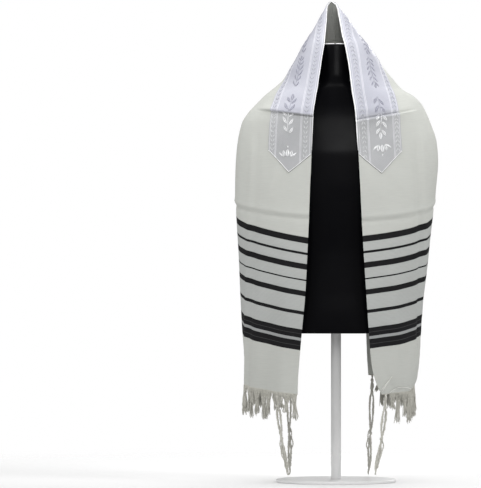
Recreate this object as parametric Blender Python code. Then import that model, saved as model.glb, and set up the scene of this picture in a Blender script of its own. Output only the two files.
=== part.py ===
"""A fringed prayer shawl with a peaked hood, worn over a limbless dress form on a stand.

Metres, +Z up, the front faces -Y. The origin is the centre of the stand base's underside.
The shawl is one rectangle of cloth. Its neck edge runs up one front edge, over the peak and
down the other, and its far edge hangs down the back. Every cloth piece is worked out from
the sections in SECTIONS: how far each height reaches to the left, right, front and back.
"""

import bisect
import functools
import math
from collections import namedtuple

import bpy
import numpy as np

# Cloth and its trimmings
CLOTH_WALL = 0.002
SEAM_GAP = 0.0003
BAND_WALL = 0.0012
BAND_WIDTH = 0.110
BAND_SHOULDER_HEIGHT = 0.818
BAND_TIP_HEIGHT = 0.765
PEAK = (-0.0115, 0.0150, 1.2020)
HEM_HEIGHT = 0.222
BACK_ARCH_HEIGHT = 0.560
BACK_EDGE_AT_HEM_LEFT = 0.100
BACK_EDGE_AT_HEM_RIGHT = 0.074
BACK_ARCH_POWER = 2.6
BAND_COLUMNS = 6
SIDE_COLUMNS = 4
FOLD_COLUMNS = 12
EDGE_COLUMNS = 2
COLUMNS = BAND_COLUMNS + SIDE_COLUMNS + FOLD_COLUMNS + EDGE_COLUMNS

# Fringe: locks of tied warp threads along each short end
LOCK_PITCH = 0.0165
LOCK_ROOT_WIDTH = 0.0120
LOCK_LENGTH = 0.066
FRINGE_STRIP = 0.004
KNOT_DEPTH = 0.020

# Corner tassels of eight strands, and how far the fringe's locks keep from one, more on the side it leans to
TASSEL_HEAD_SHARE = 0.29
# How far down the head each ring is, and its size: it is wider at its knots than at its windings.
TASSEL_HEAD_RINGS = [(0.0, 0.80), (0.10, 1.15), (0.22, 0.85), (0.50, 0.95), (0.62, 1.20), (0.74, 0.85)]
STRAND_SIZE = 0.0019
STRAND_PITCH = 0.0029
STRANDS_ACROSS = 4
STRANDS_DEEP = 2
TASSEL_ROOM = 0.0215
TASSEL_LEAN_ROOM = 0.030

# One row for each corner: its side, whether its tassel is the front or the back one, how far along the hem
# from that corner it hangs, its length, and how far its end leans, away from the front edge being positive.
Tassel = namedtuple("Tassel", "side place inset length lean")
TASSELS = [
    Tassel(-1, "front", 0.052, 0.188, -0.028),
    Tassel(-1, "back", 0.018, 0.250, 0.003),
    Tassel(1, "front", 0.010, 0.182, -0.026),
    Tassel(1, "back", 0.010, 0.245, 0.009),
]

# Dress form and stand
FORM_BOTTOM = 0.373
FORM_SEGMENTS = 32
EDGE_ROUND = 0.004
POLE_RADIUS = 0.0125
BASE_RADIUS = 0.150
BASE_THICKNESS = 0.008
ROUND_SEGMENTS = 32

# One row for each height: how far the cloth reaches left and right of the line "centre", where its two
# front edges are, how far it reaches forwards and backwards, and how square the section is.
Section = namedtuple(
    "Section", "height centre left right edge_left edge_right front middle back power"
)
SECTIONS = [
    Section(1.2000, -0.011, 0.006, 0.006, 0.0054, 0.0054, 0.0125, 0.0150, 0.0180, 2.0),
    Section(1.1960, -0.010, 0.0100, 0.0105, 0.0092, 0.0095, 0.0108, 0.0150, 0.0210, 2.0),
    Section(1.1900, -0.010, 0.0138, 0.0145, 0.0118, 0.0120, 0.0080, 0.0150, 0.0250, 2.0),
    Section(1.1820, -0.009, 0.0185, 0.0190, 0.0140, 0.0140, 0.0045, 0.0145, 0.0295, 2.0),
    Section(1.1600, -0.006, 0.0345, 0.0345, 0.0180, 0.0150, -0.008, 0.0130, 0.0405, 2.0),
    Section(1.1350, -0.003, 0.0505, 0.0490, 0.0230, 0.0165, -0.026, 0.0100, 0.0510, 2.0),
    Section(1.1100, -0.001, 0.0680, 0.0635, 0.0275, 0.0190, -0.047, 0.0070, 0.0600, 2.0),
    Section(1.0930, 0.000, 0.0810, 0.0800, 0.0300, 0.0230, -0.062, 0.0050, 0.0650, 2.0),
    Section(1.0550, 0.000, 0.1010, 0.1060, 0.0365, 0.0300, -0.080, 0.0030, 0.0740, 2.0),
    Section(1.0300, 0.000, 0.1180, 0.1230, 0.0400, 0.0340, -0.091, 0.0020, 0.0790, 2.0),
    Section(1.0050, 0.000, 0.1330, 0.1440, 0.0440, 0.0370, -0.102, 0.0010, 0.0840, 2.05),
    Section(0.9820, 0.000, 0.1570, 0.1660, 0.0470, 0.0400, -0.113, 0.0000, 0.0900, 2.1),
    Section(0.9670, 0.000, 0.1760, 0.1910, 0.0500, 0.0420, -0.120, 0.0000, 0.0950, 2.15),
    Section(0.9460, 0.000, 0.1980, 0.2120, 0.0530, 0.0460, -0.129, 0.0000, 0.1030, 2.2),
    Section(0.9250, 0.000, 0.2180, 0.2240, 0.0560, 0.0490, -0.137, 0.0000, 0.1100, 2.3),
    Section(0.8980, 0.000, 0.2350, 0.2360, 0.0580, 0.0510, -0.136, 0.0000, 0.1180, 2.4),
    Section(0.8480, 0.000, 0.2460, 0.2520, 0.0600, 0.0540, -0.135, 0.0000, 0.1260, 2.5),
    Section(0.8050, 0.000, 0.2500, 0.2550, 0.0610, 0.0565, -0.135, 0.0000, 0.1290, 2.6),
    Section(0.7380, 0.000, 0.2520, 0.2500, 0.0640, 0.0600, -0.135, 0.0000, 0.1300, 2.7),
    Section(0.6520, 0.000, 0.2480, 0.2420, 0.0670, 0.0640, -0.133, 0.0000, 0.1300, 2.8),
    Section(0.5650, 0.000, 0.2430, 0.2310, 0.0710, 0.0690, -0.131, 0.0000, 0.1300, 2.8),
    Section(0.4700, 0.000, 0.2390, 0.2190, 0.0760, 0.0750, -0.128, 0.0000, 0.1290, 2.8),
    Section(0.3830, 0.000, 0.2350, 0.2110, 0.0840, 0.0810, -0.124, 0.0000, 0.1270, 2.8),
    Section(0.3000, 0.000, 0.2290, 0.2040, 0.0910, 0.0880, -0.119, 0.0000, 0.1240, 2.8),
    Section(0.2550, 0.000, 0.2280, 0.1980, 0.0940, 0.0980, -0.116, 0.0000, 0.1220, 2.8),
    Section(0.2150, 0.000, 0.2270, 0.1880, 0.0950, 0.1170, -0.114, 0.0000, 0.1200, 2.8),
]

# How much higher than at the front edge a thread across the cloth lies, at a distance from that edge.
Rise = namedtuple("Rise", "distance left right")
RISES = [
    Rise(0.00, 0.000, 0.000),
    Rise(0.06, 0.011, 0.008),
    Rise(0.12, 0.025, 0.019),
    Rise(0.18, 0.041, 0.035),
    Rise(0.26, 0.060, 0.055),
    Rise(0.40, 0.078, 0.074),
    Rise(0.60, 0.084, 0.082),
]
# The share of that rise at each height of the front edge.
RiseShare = namedtuple("RiseShare", "height share")
RISE_SHARES = [
    RiseShare(0.21, 0.62),
    RiseShare(0.30, 0.85),
    RiseShare(0.36, 1.00),
    RiseShare(0.66, 1.00),
    RiseShare(0.76, 0.75),
    RiseShare(0.87, 0.15),
    RiseShare(0.93, 0.00),
]

# The far part of each row hangs in upright folds. How deep they are at each height, and then one row for
# each fold, in turn from the side to the far edge: its side, -1 for left, and its share of that depth, out
# being positive.
FoldDepth = namedtuple("FoldDepth", "height depth")
FOLD_DEPTHS = [
    FoldDepth(0.215, 0.050),
    FoldDepth(0.300, 0.049),
    FoldDepth(0.400, 0.046),
    FoldDepth(0.500, 0.041),
    FoldDepth(0.600, 0.033),
    FoldDepth(0.700, 0.022),
    FoldDepth(0.780, 0.012),
    FoldDepth(0.850, 0.004),
    FoldDepth(0.910, 0.000),
]
Fold = namedtuple("Fold", "side share")
FOLDS = [
    Fold(-1, -0.90),
    Fold(-1, 1.05),
    Fold(-1, 0.80),
    Fold(1, -0.50),
    Fold(1, 1.10),
    Fold(1, 0.90),
]
FOLDS_PER_SIDE = 3
# The folds start where a section is this far behind the middle, clear of the form's side.
FOLD_CLEARANCE = 0.022
# A fold that stands out does so mostly backwards: it keeps this share of its way sideways.
FOLD_SIDEWAYS = 0.2
# Between these heights the folds draw together to leave room for the arch between the two ends.
FOLDS_NARROW = (0.82, 0.28)
FOLDS_TO_EDGE = 0.007

# The dress form's sections.
FormSection = namedtuple("FormSection", "height half_width front back power")
FORM_SECTIONS = [
    FormSection(1.093, 0.057, -0.057, 0.0632, 2.0),
    FormSection(1.050, 0.057, -0.058, 0.0630, 2.0),
    FormSection(1.015, 0.059, -0.062, 0.060, 2.0),
    FormSection(0.997, 0.074, -0.069, 0.064, 2.0),
    FormSection(0.984, 0.113, -0.078, 0.070, 2.0),
    FormSection(0.972, 0.148, -0.084, 0.076, 2.1),
    FormSection(0.956, 0.1825, -0.091, 0.083, 2.2),
    FormSection(0.935, 0.2006, -0.100, 0.092, 2.3),
    FormSection(0.905, 0.211, -0.108, 0.102, 2.4),
    FormSection(0.865, 0.213, -0.115, 0.110, 2.4),
    FormSection(0.815, 0.205, -0.121, 0.115, 2.4),
    FormSection(0.750, 0.184, -0.121, 0.113, 2.4),
    FormSection(0.660, 0.166, -0.114, 0.103, 2.4),
    FormSection(0.570, 0.156, -0.106, 0.093, 2.4),
    FormSection(0.480, 0.163, -0.108, 0.101, 2.4),
    FormSection(0.410, 0.172, -0.112, 0.109, 2.4),
    FormSection(FORM_BOTTOM, 0.174, -0.112, 0.110, 2.4),
]

TABLES = {
    "cloth": SECTIONS,
    "rises": RISES,
    "rise_shares": RISE_SHARES,
    "folds": FOLD_DEPTHS,
    "form": FORM_SECTIONS,
}

Material = namedtuple("Material", "name colour roughness metallic")
CREAM = Material("cream_cloth", (0.74, 0.75, 0.69), 0.85, 0.0)
SATIN = Material("white_satin", (0.82, 0.82, 0.86), 0.45, 0.0)
YARN = Material("cream_yarn", (0.74, 0.73, 0.66), 0.90, 0.0)
BLACK = Material("black_plastic", (0.012, 0.012, 0.014), 0.30, 0.0)
WHITE = Material("white_painted_steel", (0.80, 0.80, 0.80), 0.40, 0.0)


def smooth_step(value):
    """0 below 0, 1 above 1, and a smooth turn between."""
    value = np.clip(value, 0.0, 1.0)
    return value * value * (3 - 2 * value)


class Curve:
    """A smooth curve through the points (xs, ys) that doesn't overshoot them; xs increase."""

    def __init__(self, xs, ys):
        self.xs, self.ys = list(map(float, xs)), list(map(float, ys))
        steps = [b - a for a, b in zip(self.xs, self.xs[1:])]
        slopes = [(b - a) / step for a, b, step in zip(self.ys, self.ys[1:], steps)]
        self.tangents = [slopes[0]] + [0.0] * (len(xs) - 2) + [slopes[-1]]
        for i in range(1, len(xs) - 1):
            if slopes[i - 1] * slopes[i] > 0:
                before = 2 * steps[i] + steps[i - 1]
                after = steps[i] + 2 * steps[i - 1]
                self.tangents[i] = (before + after) / (before / slopes[i - 1] + after / slopes[i])

    def __call__(self, at):
        at = min(max(at, self.xs[0]), self.xs[-1])
        i = min(max(bisect.bisect_left(self.xs, at) - 1, 0), len(self.xs) - 2)
        h = self.xs[i + 1] - self.xs[i]
        t = (at - self.xs[i]) / h
        return (
            self.ys[i] * (1 + 2 * t) * (1 - t) ** 2
            + self.ys[i + 1] * t * t * (3 - 2 * t)
            + self.tangents[i] * h * t * (1 - t) ** 2
            + self.tangents[i + 1] * h * t * t * (t - 1)
        )


@functools.cache
def curve(table_name, name):
    """A named column of a table as a smooth curve of the table's first column."""
    rows = sorted(TABLES[table_name], key=lambda row: row[0])
    return Curve([row[0] for row in rows], [getattr(row, name) for row in rows])


def column(table_name, name, at):
    return curve(table_name, name)(float(at))


def side_word(side):
    return "left" if side < 0 else "right"


def oval(angle, reach, front, middle, back, power):
    """A point of a squared oval: angle 0 is the front, a quarter turn the side, a half turn the back."""
    across = np.abs(np.sin(angle)) ** (2 / power)
    along = np.abs(np.cos(angle)) ** (2 / power)
    depth = np.where(np.cos(angle) > 0, front - middle, back - middle)
    return reach * across, middle + depth * along


@functools.cache
def half_section(side, height, samples=181):
    """Half a level section of the cloth from its front edge to the middle of the back, as points x, y and
    the distance of each from the front edge."""
    word = side_word(side)
    reach = column("cloth", word, height)
    edge = column("cloth", "edge_" + word, height)
    power = column("cloth", "power", height)
    start = math.asin(min(1.0, edge / reach) ** (power / 2))
    # Angles crowd together where the squared oval turns quickly.
    angle = start + (math.pi - start) * np.linspace(0, 1, samples)
    front, middle, back = (column("cloth", n, height) for n in ("front", "middle", "back"))
    x, y = oval(angle, reach, front, middle, back, power)
    x = column("cloth", "centre", height) + side * x
    length = np.concatenate([[0], np.cumsum(np.hypot(np.diff(x), np.diff(y)))])
    return x, y, length


def back_edge(side, height):
    """How far the cloth's far edge hangs from the middle of the back; 0 above the top of its arch."""
    share = (height - HEM_HEIGHT) / (BACK_ARCH_HEIGHT - HEM_HEIGHT)
    share = min(1.0, max(0.0, share))
    return widest_edge(side) * (1 - share**BACK_ARCH_POWER) ** (1 / 2)


def widest_edge(side):
    return BACK_EDGE_AT_HEM_LEFT if side < 0 else BACK_EDGE_AT_HEM_RIGHT


def rise(side, row_height, distance):
    share = column("rise_shares", "share", row_height)
    return share * column("rises", side_word(side), distance)


@functools.cache
def cloth_reach(side, row_height):
    """The length of a row of the cloth, from its front edge to its far edge or to the middle of the back."""
    x, _, length = half_section(side, row_height)
    if row_height >= BACK_ARCH_HEIGHT:
        return float(length[-1])
    behind = len(x) // 2
    return float(np.interp(-back_edge(side, row_height), -np.abs(x[behind:]), length[behind:]))


@functools.cache
def fold_start(side, row_height):
    """How far from the front edge a row's folds start, a little behind its widest point."""
    _, y, length = half_section(side, row_height)
    front = len(y) // 8
    return float(np.interp(FOLD_CLEARANCE, y[front:], length[front:]))


@functools.cache
def fold_end(side, row_height):
    """How far from the front edge a row's folds end, just before the far edge or the back's middle."""
    top, bottom = FOLDS_NARROW
    narrowed = float(smooth_step((top - row_height) / (top - bottom)))
    short = widest_edge(side) * 1.1 * narrowed + FOLDS_TO_EDGE
    return float(half_section(side, row_height)[2][-1]) - short


def fold_depth(side, row_height, distance, height):
    """How far the folds push the cloth out at a point."""
    start, end = fold_start(side, row_height), fold_end(side, row_height)
    if not start < distance < end:
        return 0.0
    along = (distance - start) / (end - start) * FOLDS_PER_SIDE
    folds = [fold.share for fold in FOLDS if fold.side == side]
    fold = folds[min(int(along), FOLDS_PER_SIDE - 1)]
    return column("folds", "depth", height) * fold * math.sin(math.pi * along) ** 2


@functools.cache
def bare_point(side, row_height, distance):
    """A point of the cloth's outer face without its folds, at a distance along its row."""
    height = row_height + rise(side, row_height, distance)
    x, y, length = half_section(side, height)
    along = distance * length[-1] / half_section(side, row_height)[2][-1]
    return np.array([np.interp(along, length, x), np.interp(along, length, y), height])


def turned_out(side, row_height, distance, point):
    """The unit normal at a point of the cloth, from its neighbours up and along the row."""
    up_by, along_by = 0.003, 0.003
    full = float(half_section(side, row_height)[2][-1])
    up = point(side, row_height + up_by, distance) - point(side, row_height - up_by, distance)
    ahead, behind = min(distance + along_by, full), max(distance - along_by, 0.0)
    normal = np.cross(point(side, row_height, ahead) - point(side, row_height, behind), up) * side
    if distance > full - 1e-6:
        normal[0] = 0.0
    return normal / np.linalg.norm(normal)


@functools.cache
def folded_point(side, row_height, distance):
    """A point of the cloth's outer face, with its folds."""
    point = bare_point(side, row_height, distance)
    out = fold_depth(side, row_height, distance, float(point[2]))
    if out:
        towards = turned_out(side, row_height, distance, bare_point)
        if out > 0:
            towards[0] *= FOLD_SIDEWAYS
        point = point + towards / np.linalg.norm(towards) * out
    return point


@functools.cache
def outward(side, row_height, distance):
    return turned_out(side, row_height, distance, folded_point)


def cloth_point(side, row_height, share, lift):
    """A point of the worn cloth at a share of its row's length from the front edge. Lift moves it out of the
    outer face, and a negative lift into the wall."""
    distance = share * cloth_reach(side, row_height)
    return folded_point(side, row_height, distance) + outward(side, row_height, distance) * lift


def new_object(name, points, faces, material):
    """A mesh object with one material, shaded smooth with its hard edges kept."""
    mesh = bpy.data.meshes.new(name)
    mesh.from_pydata([tuple(map(float, p)) for p in points], [], faces)
    mesh.validate()
    made = bpy.data.objects.new(name, mesh)
    bpy.context.scene.collection.objects.link(made)
    mesh.materials.append(shader(material))
    mesh.shade_smooth()
    mesh.set_sharp_from_angle(angle=math.radians(40))
    return made


def shader(spec):
    if spec.name in bpy.data.materials:
        return bpy.data.materials[spec.name]
    made = bpy.data.materials.new(spec.name)
    made.use_nodes = True
    node = made.node_tree.nodes["Principled BSDF"]
    node.inputs["Base Color"].default_value = (*spec.colour, 1.0)
    node.inputs["Roughness"].default_value = spec.roughness
    node.inputs["Metallic"].default_value = spec.metallic
    return made


class Wall:
    """A closed wall over a grid of three-cornered cells. Corners that share a key are one corner."""

    def __init__(self, lift_out, lift_in):
        self.lift_out, self.lift_in = lift_out, lift_in
        self.points, self.index = [], {}
        self.cells = []

    def corner(self, key):
        if key not in self.index:
            self.index[key] = len(self.points)
            self.points += [grid_point(key, self.lift_out), grid_point(key, self.lift_in)]
        return self.index[key]

    def add(self, side, *spots):
        """A cell of one side, its corners in turn, anticlockwise from outside on the right-hand side."""
        corners = []
        for spot in spots if side > 0 else reversed(spots):
            corner = self.corner(grid_key(side, *spot))
            if corner not in corners:
                corners.append(corner)
        if len(corners) > 2:
            self.cells.append(corners)

    def faces(self):
        """The outer and inner faces of every cell, and a rim face along each edge that one cell has."""
        edges = set()
        for cell in self.cells:
            edges.update(zip(cell, cell[1:] + cell[:1]))
        made = [list(cell) for cell in self.cells]
        made += [[c + 1 for c in reversed(cell)] for cell in self.cells]
        made += [[b, a, a + 1, b + 1] for a, b in sorted(edges) if (b, a) not in edges]
        return made


@functools.cache
def peak_distance(side, height):
    """How far the middle of the back lies from the peak."""
    back = bare_point(side, height, cloth_reach(side, height))
    return float(np.linalg.norm(back - np.array(PEAK)))


@functools.cache
def back_crossing():
    """The height at which the band's outer edge crosses the middle of the back."""
    low, high = 1.0, PEAK[2]
    while high - low > 1e-5:
        middle = (low + high) / 2
        if peak_distance(1, middle) > BAND_WIDTH:
            low = middle
        else:
            high = middle
    return low


def row_heights(spans):
    """Heights from top to bottom: each span is (top, bottom, rows)."""
    heights = [spans[0][0]]
    for top, bottom, rows in spans:
        heights += [top + (bottom - top) * (i + 1) / rows for i in range(rows)]
    return heights


@functools.cache
def grid_heights():
    """The heights of the cloth's rows, and the numbers of the rows at which the band starts to cover the
    whole back, at which its pointed end starts, and of the top of the back arch."""
    crossing = back_crossing()
    spans = [
        (PEAK[2], 1.198, 1),
        (1.198, 1.180, 3),
        (1.180, crossing, 3),
        (crossing, crossing - 0.004, 1),
        (crossing - 0.004, crossing - 0.016, 1),
        (crossing - 0.016, crossing - 0.036, 1),
        (crossing - 0.036, 1.005, 3),
        (1.005, 0.925, 5),
        (0.925, BAND_SHOULDER_HEIGHT, 3),
        (BAND_SHOULDER_HEIGHT, BAND_TIP_HEIGHT, BAND_COLUMNS // 2),
        (BAND_TIP_HEIGHT, BACK_ARCH_HEIGHT, 4),
        (BACK_ARCH_HEIGHT, 0.545, 2),
        (0.545, 0.490, 2),
        (0.490, HEM_HEIGHT, 6),
    ]
    rows = np.cumsum([span[2] for span in spans])
    return row_heights(spans), int(rows[2]), int(rows[8]), int(rows[10])


def band_share(side, height):
    """How much of a row the neck band covers. The cloth round the peak is half a turn of flat cloth, so the
    band's straight outer edge crosses the back one band width below the peak."""
    far = peak_distance(side, height)
    if far <= BAND_WIDTH:
        return 1.0
    on_hood = math.asin(BAND_WIDTH / far) / (math.pi / 2)
    on_chest = BAND_WIDTH / cloth_reach(side, height)
    chest = float(smooth_step((1.085 - height) / 0.065))
    return min(1.0, on_hood * (1 - chest) + on_chest * chest)


def grid_key(side, row, col):
    """The whole top row is the peak. The two sides share the middle of the back, where every column past the
    band's ends above it."""
    _, covered, _, arch = grid_heights()
    if row == 0 or row <= covered and col >= BAND_COLUMNS or row <= arch and col == COLUMNS:
        return (0, row, COLUMNS)
    return (side, row, col)


def grid_share(side, row, col):
    heights, covered, _, _ = grid_heights()
    height = heights[row]
    band = 1.0 if row <= covered else band_share(side, height)
    if col <= BAND_COLUMNS:
        return band * col / BAND_COLUMNS
    on_back = float(smooth_step((0.93 - height) / 0.06))
    reach = cloth_reach(side, height)
    start = fold_start(side, height) / reach * on_back + (band + 0.3 * (1 - band)) * (1 - on_back)
    end = fold_end(side, height) / reach * on_back + (band + 0.95 * (1 - band)) * (1 - on_back)
    col -= BAND_COLUMNS
    if col <= SIDE_COLUMNS:
        return band + (start - band) * col / SIDE_COLUMNS
    col -= SIDE_COLUMNS
    if col <= FOLD_COLUMNS:
        return start + (end - start) * (col - 0.5) / FOLD_COLUMNS
    return end + (1 - end) * (col - FOLD_COLUMNS - 1) / (EDGE_COLUMNS - 1)


def grid_point(key, lift):
    """A corner of the cloth's grid, lifted out of the outer face."""
    side, row, col = key
    height = grid_heights()[0][row]
    if row == 0:
        return np.array(PEAK) + np.array([0.0, 0.0, lift])
    if side:
        return cloth_point(side, height, grid_share(side, row, col), lift)
    return (cloth_point(-1, height, 1.0, lift) + cloth_point(1, height, 1.0, lift)) / 2


def cell_halves(row, col):
    """The two triangles of a cell, split along the band's pointed end where it crosses the cell."""
    a, b, c, d = (row, col), (row + 1, col), (row + 1, col + 1), (row, col + 1)
    down = row - grid_heights()[2]
    if 0 <= down < BAND_COLUMNS // 2 and col == BAND_COLUMNS - 1 - down:
        return (a, b, d), (b, c, d)
    return (a, c, d), (a, b, c)


def make_cloth():
    wall = Wall(0.0, -CLOTH_WALL)
    for side in (-1, 1):
        for row in range(len(grid_heights()[0]) - 1):
            for col in range(COLUMNS):
                for half in cell_halves(row, col):
                    wall.add(side, *half)
    return new_object("tallit_cloth", wall.points, wall.faces(), CREAM)


def make_band():
    """The neck band lies on the cloth's outer face, over the cloth's own cells, and ends in two points."""
    wall = Wall(SEAM_GAP + BAND_WALL, SEAM_GAP)
    pointed = grid_heights()[2]
    for side in (-1, 1):
        for row in range(pointed + BAND_COLUMNS // 2):
            down = max(0, row - pointed)
            for col in range(down, BAND_COLUMNS - down):
                halves = cell_halves(row, col)
                edge_cell = row >= pointed and col in (down, BAND_COLUMNS - 1 - down)
                for half in halves[:1] if edge_cell else halves:
                    wall.add(side, *half)
    return new_object("atarah_band", wall.points, wall.faces(), SATIN)


@functools.cache
def hem_line(side):
    """The corners along the middle of the hem's edge, and the distance along it of each."""
    last = len(grid_heights()[0]) - 1
    corners = np.array([grid_point((side, last, col), -CLOTH_WALL / 2) for col in range(COLUMNS + 1)])
    steps = np.linalg.norm(np.diff(corners, axis=0), axis=1)
    return corners, np.concatenate([[0], np.cumsum(steps)])


def hem_frame(side, distance):
    """A point of the hem, and the level directions along it and out of the cloth."""
    corners, length = hem_line(side)

    def at(d):
        return np.array([np.interp(d, length, corners[:, i]) for i in range(3)])

    along = at(min(distance + 0.008, length[-1])) - at(max(distance - 0.008, 0.0))
    along[2] = 0.0
    along /= np.linalg.norm(along)
    out = np.array([along[1], -along[0], 0.0]) * side
    return at(distance), along, out


def lock_rings(side, distance, number):
    """The rings of one lock below the strip: width, thickness, drop, and how far it swings from upright."""
    swing = 0.0055 * math.sin(2.3 * number + side)
    lean = 0.004 * math.sin(1.7 * number)
    length = LOCK_LENGTH * (1 + 0.10 * math.sin(3.1 * number + 2 * side))
    return [
        (0.0075, 0.0034, KNOT_DEPTH * 0.62, 0.0, 0.0),
        (0.0062, 0.0058, KNOT_DEPTH, 0.0, 0.0),
        (0.0068, 0.0040, KNOT_DEPTH * 1.35, 0.1 * swing, 0.1 * lean),
        (0.0088, 0.0050, length * 0.72, 0.6 * swing, 0.6 * lean),
        (0.0105, 0.0052, length, swing, lean),
    ]


def make_fringe(side):
    """A narrow strip just under the hem, from whose underside the locks hang."""
    reach = hem_line(side)[1][-1]
    count = int((reach - 0.002) / LOCK_PITCH)
    margin = (reach - (count - 1) * LOCK_PITCH) / 2
    middles = [margin + i * LOCK_PITCH for i in range(count)]
    middles = [middle for middle in middles if has_room(side, middle)]
    roots = [(middle - LOCK_ROOT_WIDTH / 2, middle + LOCK_ROOT_WIDTH / 2) for middle in middles]
    corners = [0.0015, *hem_line(side)[1][1:-1], reach - 0.0015]
    free = [c for c in corners if all(c < low - 0.001 or c > high + 0.001 for low, high in roots)]
    stops = sorted(free + [end for root in roots for end in root])
    points, faces = [], []
    half = CLOTH_WALL * 0.6

    def add(*corners):
        points.extend(corners)
        return list(range(len(points) - len(corners), len(points)))

    rings = []
    for stop in stops:
        at, _, out = hem_frame(side, stop)
        top = at - np.array([0, 0, 2 * SEAM_GAP])
        low = at - np.array([0, 0, FRINGE_STRIP])
        rings.append(add(top + out * half, top - out * half, low - out * half, low + out * half))

    def turned(face):
        return face if side > 0 else face[::-1]

    def skin(a, b, skip_low):
        for i in range(4):
            if not (skip_low and i == 2):
                faces.append(turned([b[i], b[(i + 1) % 4], a[(i + 1) % 4], a[i]]))

    starts = {stops.index(low): number for number, (low, _) in enumerate(roots)}
    for i in range(len(rings) - 1):
        skin(rings[i], rings[i + 1], i in starts)
    faces.append(turned(list(rings[0])))
    faces.append(turned(rings[-1][::-1]))
    for start, number in starts.items():
        middle, before, after = middles[number], rings[start], rings[start + 1]
        ring = [before[3], before[2], after[2], after[3]]
        at, along, out = hem_frame(side, middle)
        for width, thickness, drop, swing, lean in lock_rings(side, middle, number):
            centre = at + along * swing + out * lean - np.array([0, 0, drop + FRINGE_STRIP])
            next_ring = add(
                centre - along * width / 2 + out * thickness / 2,
                centre - along * width / 2 - out * thickness / 2,
                centre + along * width / 2 - out * thickness / 2,
                centre + along * width / 2 + out * thickness / 2,
            )
            for i in range(4):
                j = (i + 1) % 4
                faces.append(turned([ring[i], ring[j], next_ring[j], next_ring[i]]))
            ring = next_ring
        faces.append(turned(ring))
    return new_object(f"fringe_{side_word(side)}", points, faces, YARN)


def make_tassel(name, top, along, out, slope, length, lean, turn):
    """A corner tassel: a wound head of STRANDS_ACROSS by STRANDS_DEEP cells, each of which goes on as a
    strand. Points of a level are a grid of corners, and below the head each strand has its own four."""
    across_half = STRANDS_ACROSS * STRAND_PITCH / 2
    deep_half = STRANDS_DEEP * STRAND_PITCH / 2
    head = length * TASSEL_HEAD_SHARE
    points, faces = [], []

    def place(a, d, drop):
        aside = a + lean * (drop / length) ** 1.5
        down = drop - slope * a * max(0.0, 1 - drop / head)
        points.append(top + along * aside + out * d - np.array([0, 0, down]))
        return len(points) - 1

    border = [(a, 0) for a in range(STRANDS_ACROSS)]
    border += [(STRANDS_ACROSS, d) for d in range(STRANDS_DEEP)]
    border += [(a, STRANDS_DEEP) for a in range(STRANDS_ACROSS, 0, -1)]
    border += [(0, d) for d in range(STRANDS_DEEP, 0, -1)]
    rings = []
    for share, size in TASSEL_HEAD_RINGS:
        ring = {}
        for a, d in border:
            ring[(a, d)] = place(
                (a * STRAND_PITCH - across_half) * size * 0.72,
                (d * STRAND_PITCH - deep_half) * size,
                share * head,
            )
        rings.append(ring)
    bottom = {}
    for a in range(STRANDS_ACROSS + 1):
        for d in range(STRANDS_DEEP + 1):
            bottom[(a, d)] = place(a * STRAND_PITCH - across_half, d * STRAND_PITCH - deep_half, head)
    rings.append({spot: bottom[spot] for spot in border})
    for upper, lower in zip(rings, rings[1:]):
        for spot, following in zip(border, border[1:] + border[:1]):
            faces.append([upper[spot], upper[following], lower[following], lower[spot]])
    faces.append([rings[0][spot] for spot in reversed(border)])
    half = STRAND_SIZE / 2
    for a in range(STRANDS_ACROSS):
        for d in range(STRANDS_DEEP):
            number = a * STRANDS_DEEP + d
            ring = [bottom[c] for c in [(a, d), (a + 1, d), (a + 1, d + 1), (a, d + 1)]]
            middle_a = (a + 0.5) * STRAND_PITCH - across_half
            middle_d = (d + 0.5) * STRAND_PITCH - deep_half
            strand = length - head - 0.012 * (number * 3 % 5) / 5
            for step in (0.04, 0.25, 0.50, 0.75, 1.0):
                sway = 0.0016 * math.sin(1.9 * number + 3.0 * step + turn) * step
                spread = 1 + 0.55 * math.sin(math.pi * step)
                c = (middle_a * spread + sway, middle_d * spread + sway * 0.5, head + strand * step)
                next_ring = [
                    place(c[0] - half, c[1] - half, c[2]),
                    place(c[0] + half, c[1] - half, c[2]),
                    place(c[0] + half, c[1] + half, c[2]),
                    place(c[0] - half, c[1] + half, c[2]),
                ]
                for i in range(4):
                    j = (i + 1) % 4
                    faces.append([ring[i], ring[j], next_ring[j], next_ring[i]])
                ring = next_ring
            faces.append(ring)
    if np.dot(np.cross(along, out), (0, 0, 1)) > 0:
        faces = [face[::-1] for face in faces]
    return new_object(name, points, faces, YARN)


def tassel_distance(tassel):
    """How far along the hem from its front corner a tassel hangs."""
    reach = hem_line(tassel.side)[1][-1]
    return tassel.inset if tassel.place == "front" else reach - tassel.inset


def has_room(side, distance):
    """Whether a lock at that distance along the hem hangs clear of the corner tassels."""
    for tassel in TASSELS:
        gap = distance - tassel_distance(tassel)
        towards_lean = gap * tassel.lean > 0
        if tassel.side == side and abs(gap) < (TASSEL_LEAN_ROOM if towards_lean else TASSEL_ROOM):
            return False
    return True


def make_corner_tassels():
    """One tassel near each corner, under the fringe's strip and in line with its locks."""
    for number, tassel in enumerate(TASSELS):
        distance = tassel_distance(tassel)
        at, along, out = hem_frame(tassel.side, distance)
        before, after = (hem_frame(tassel.side, distance + step)[0] for step in (-0.004, 0.004))
        slope = (after[2] - before[2]) / math.hypot(*(after - before)[:2])
        top = at - np.array([0, 0, FRINGE_STRIP + 2 * SEAM_GAP])
        name = f"tzitzit_{tassel.place}_{side_word(tassel.side)}"
        make_tassel(name, top, along, out, slope, tassel.length, tassel.lean, 0.4 + 1.6 * number)


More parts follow.
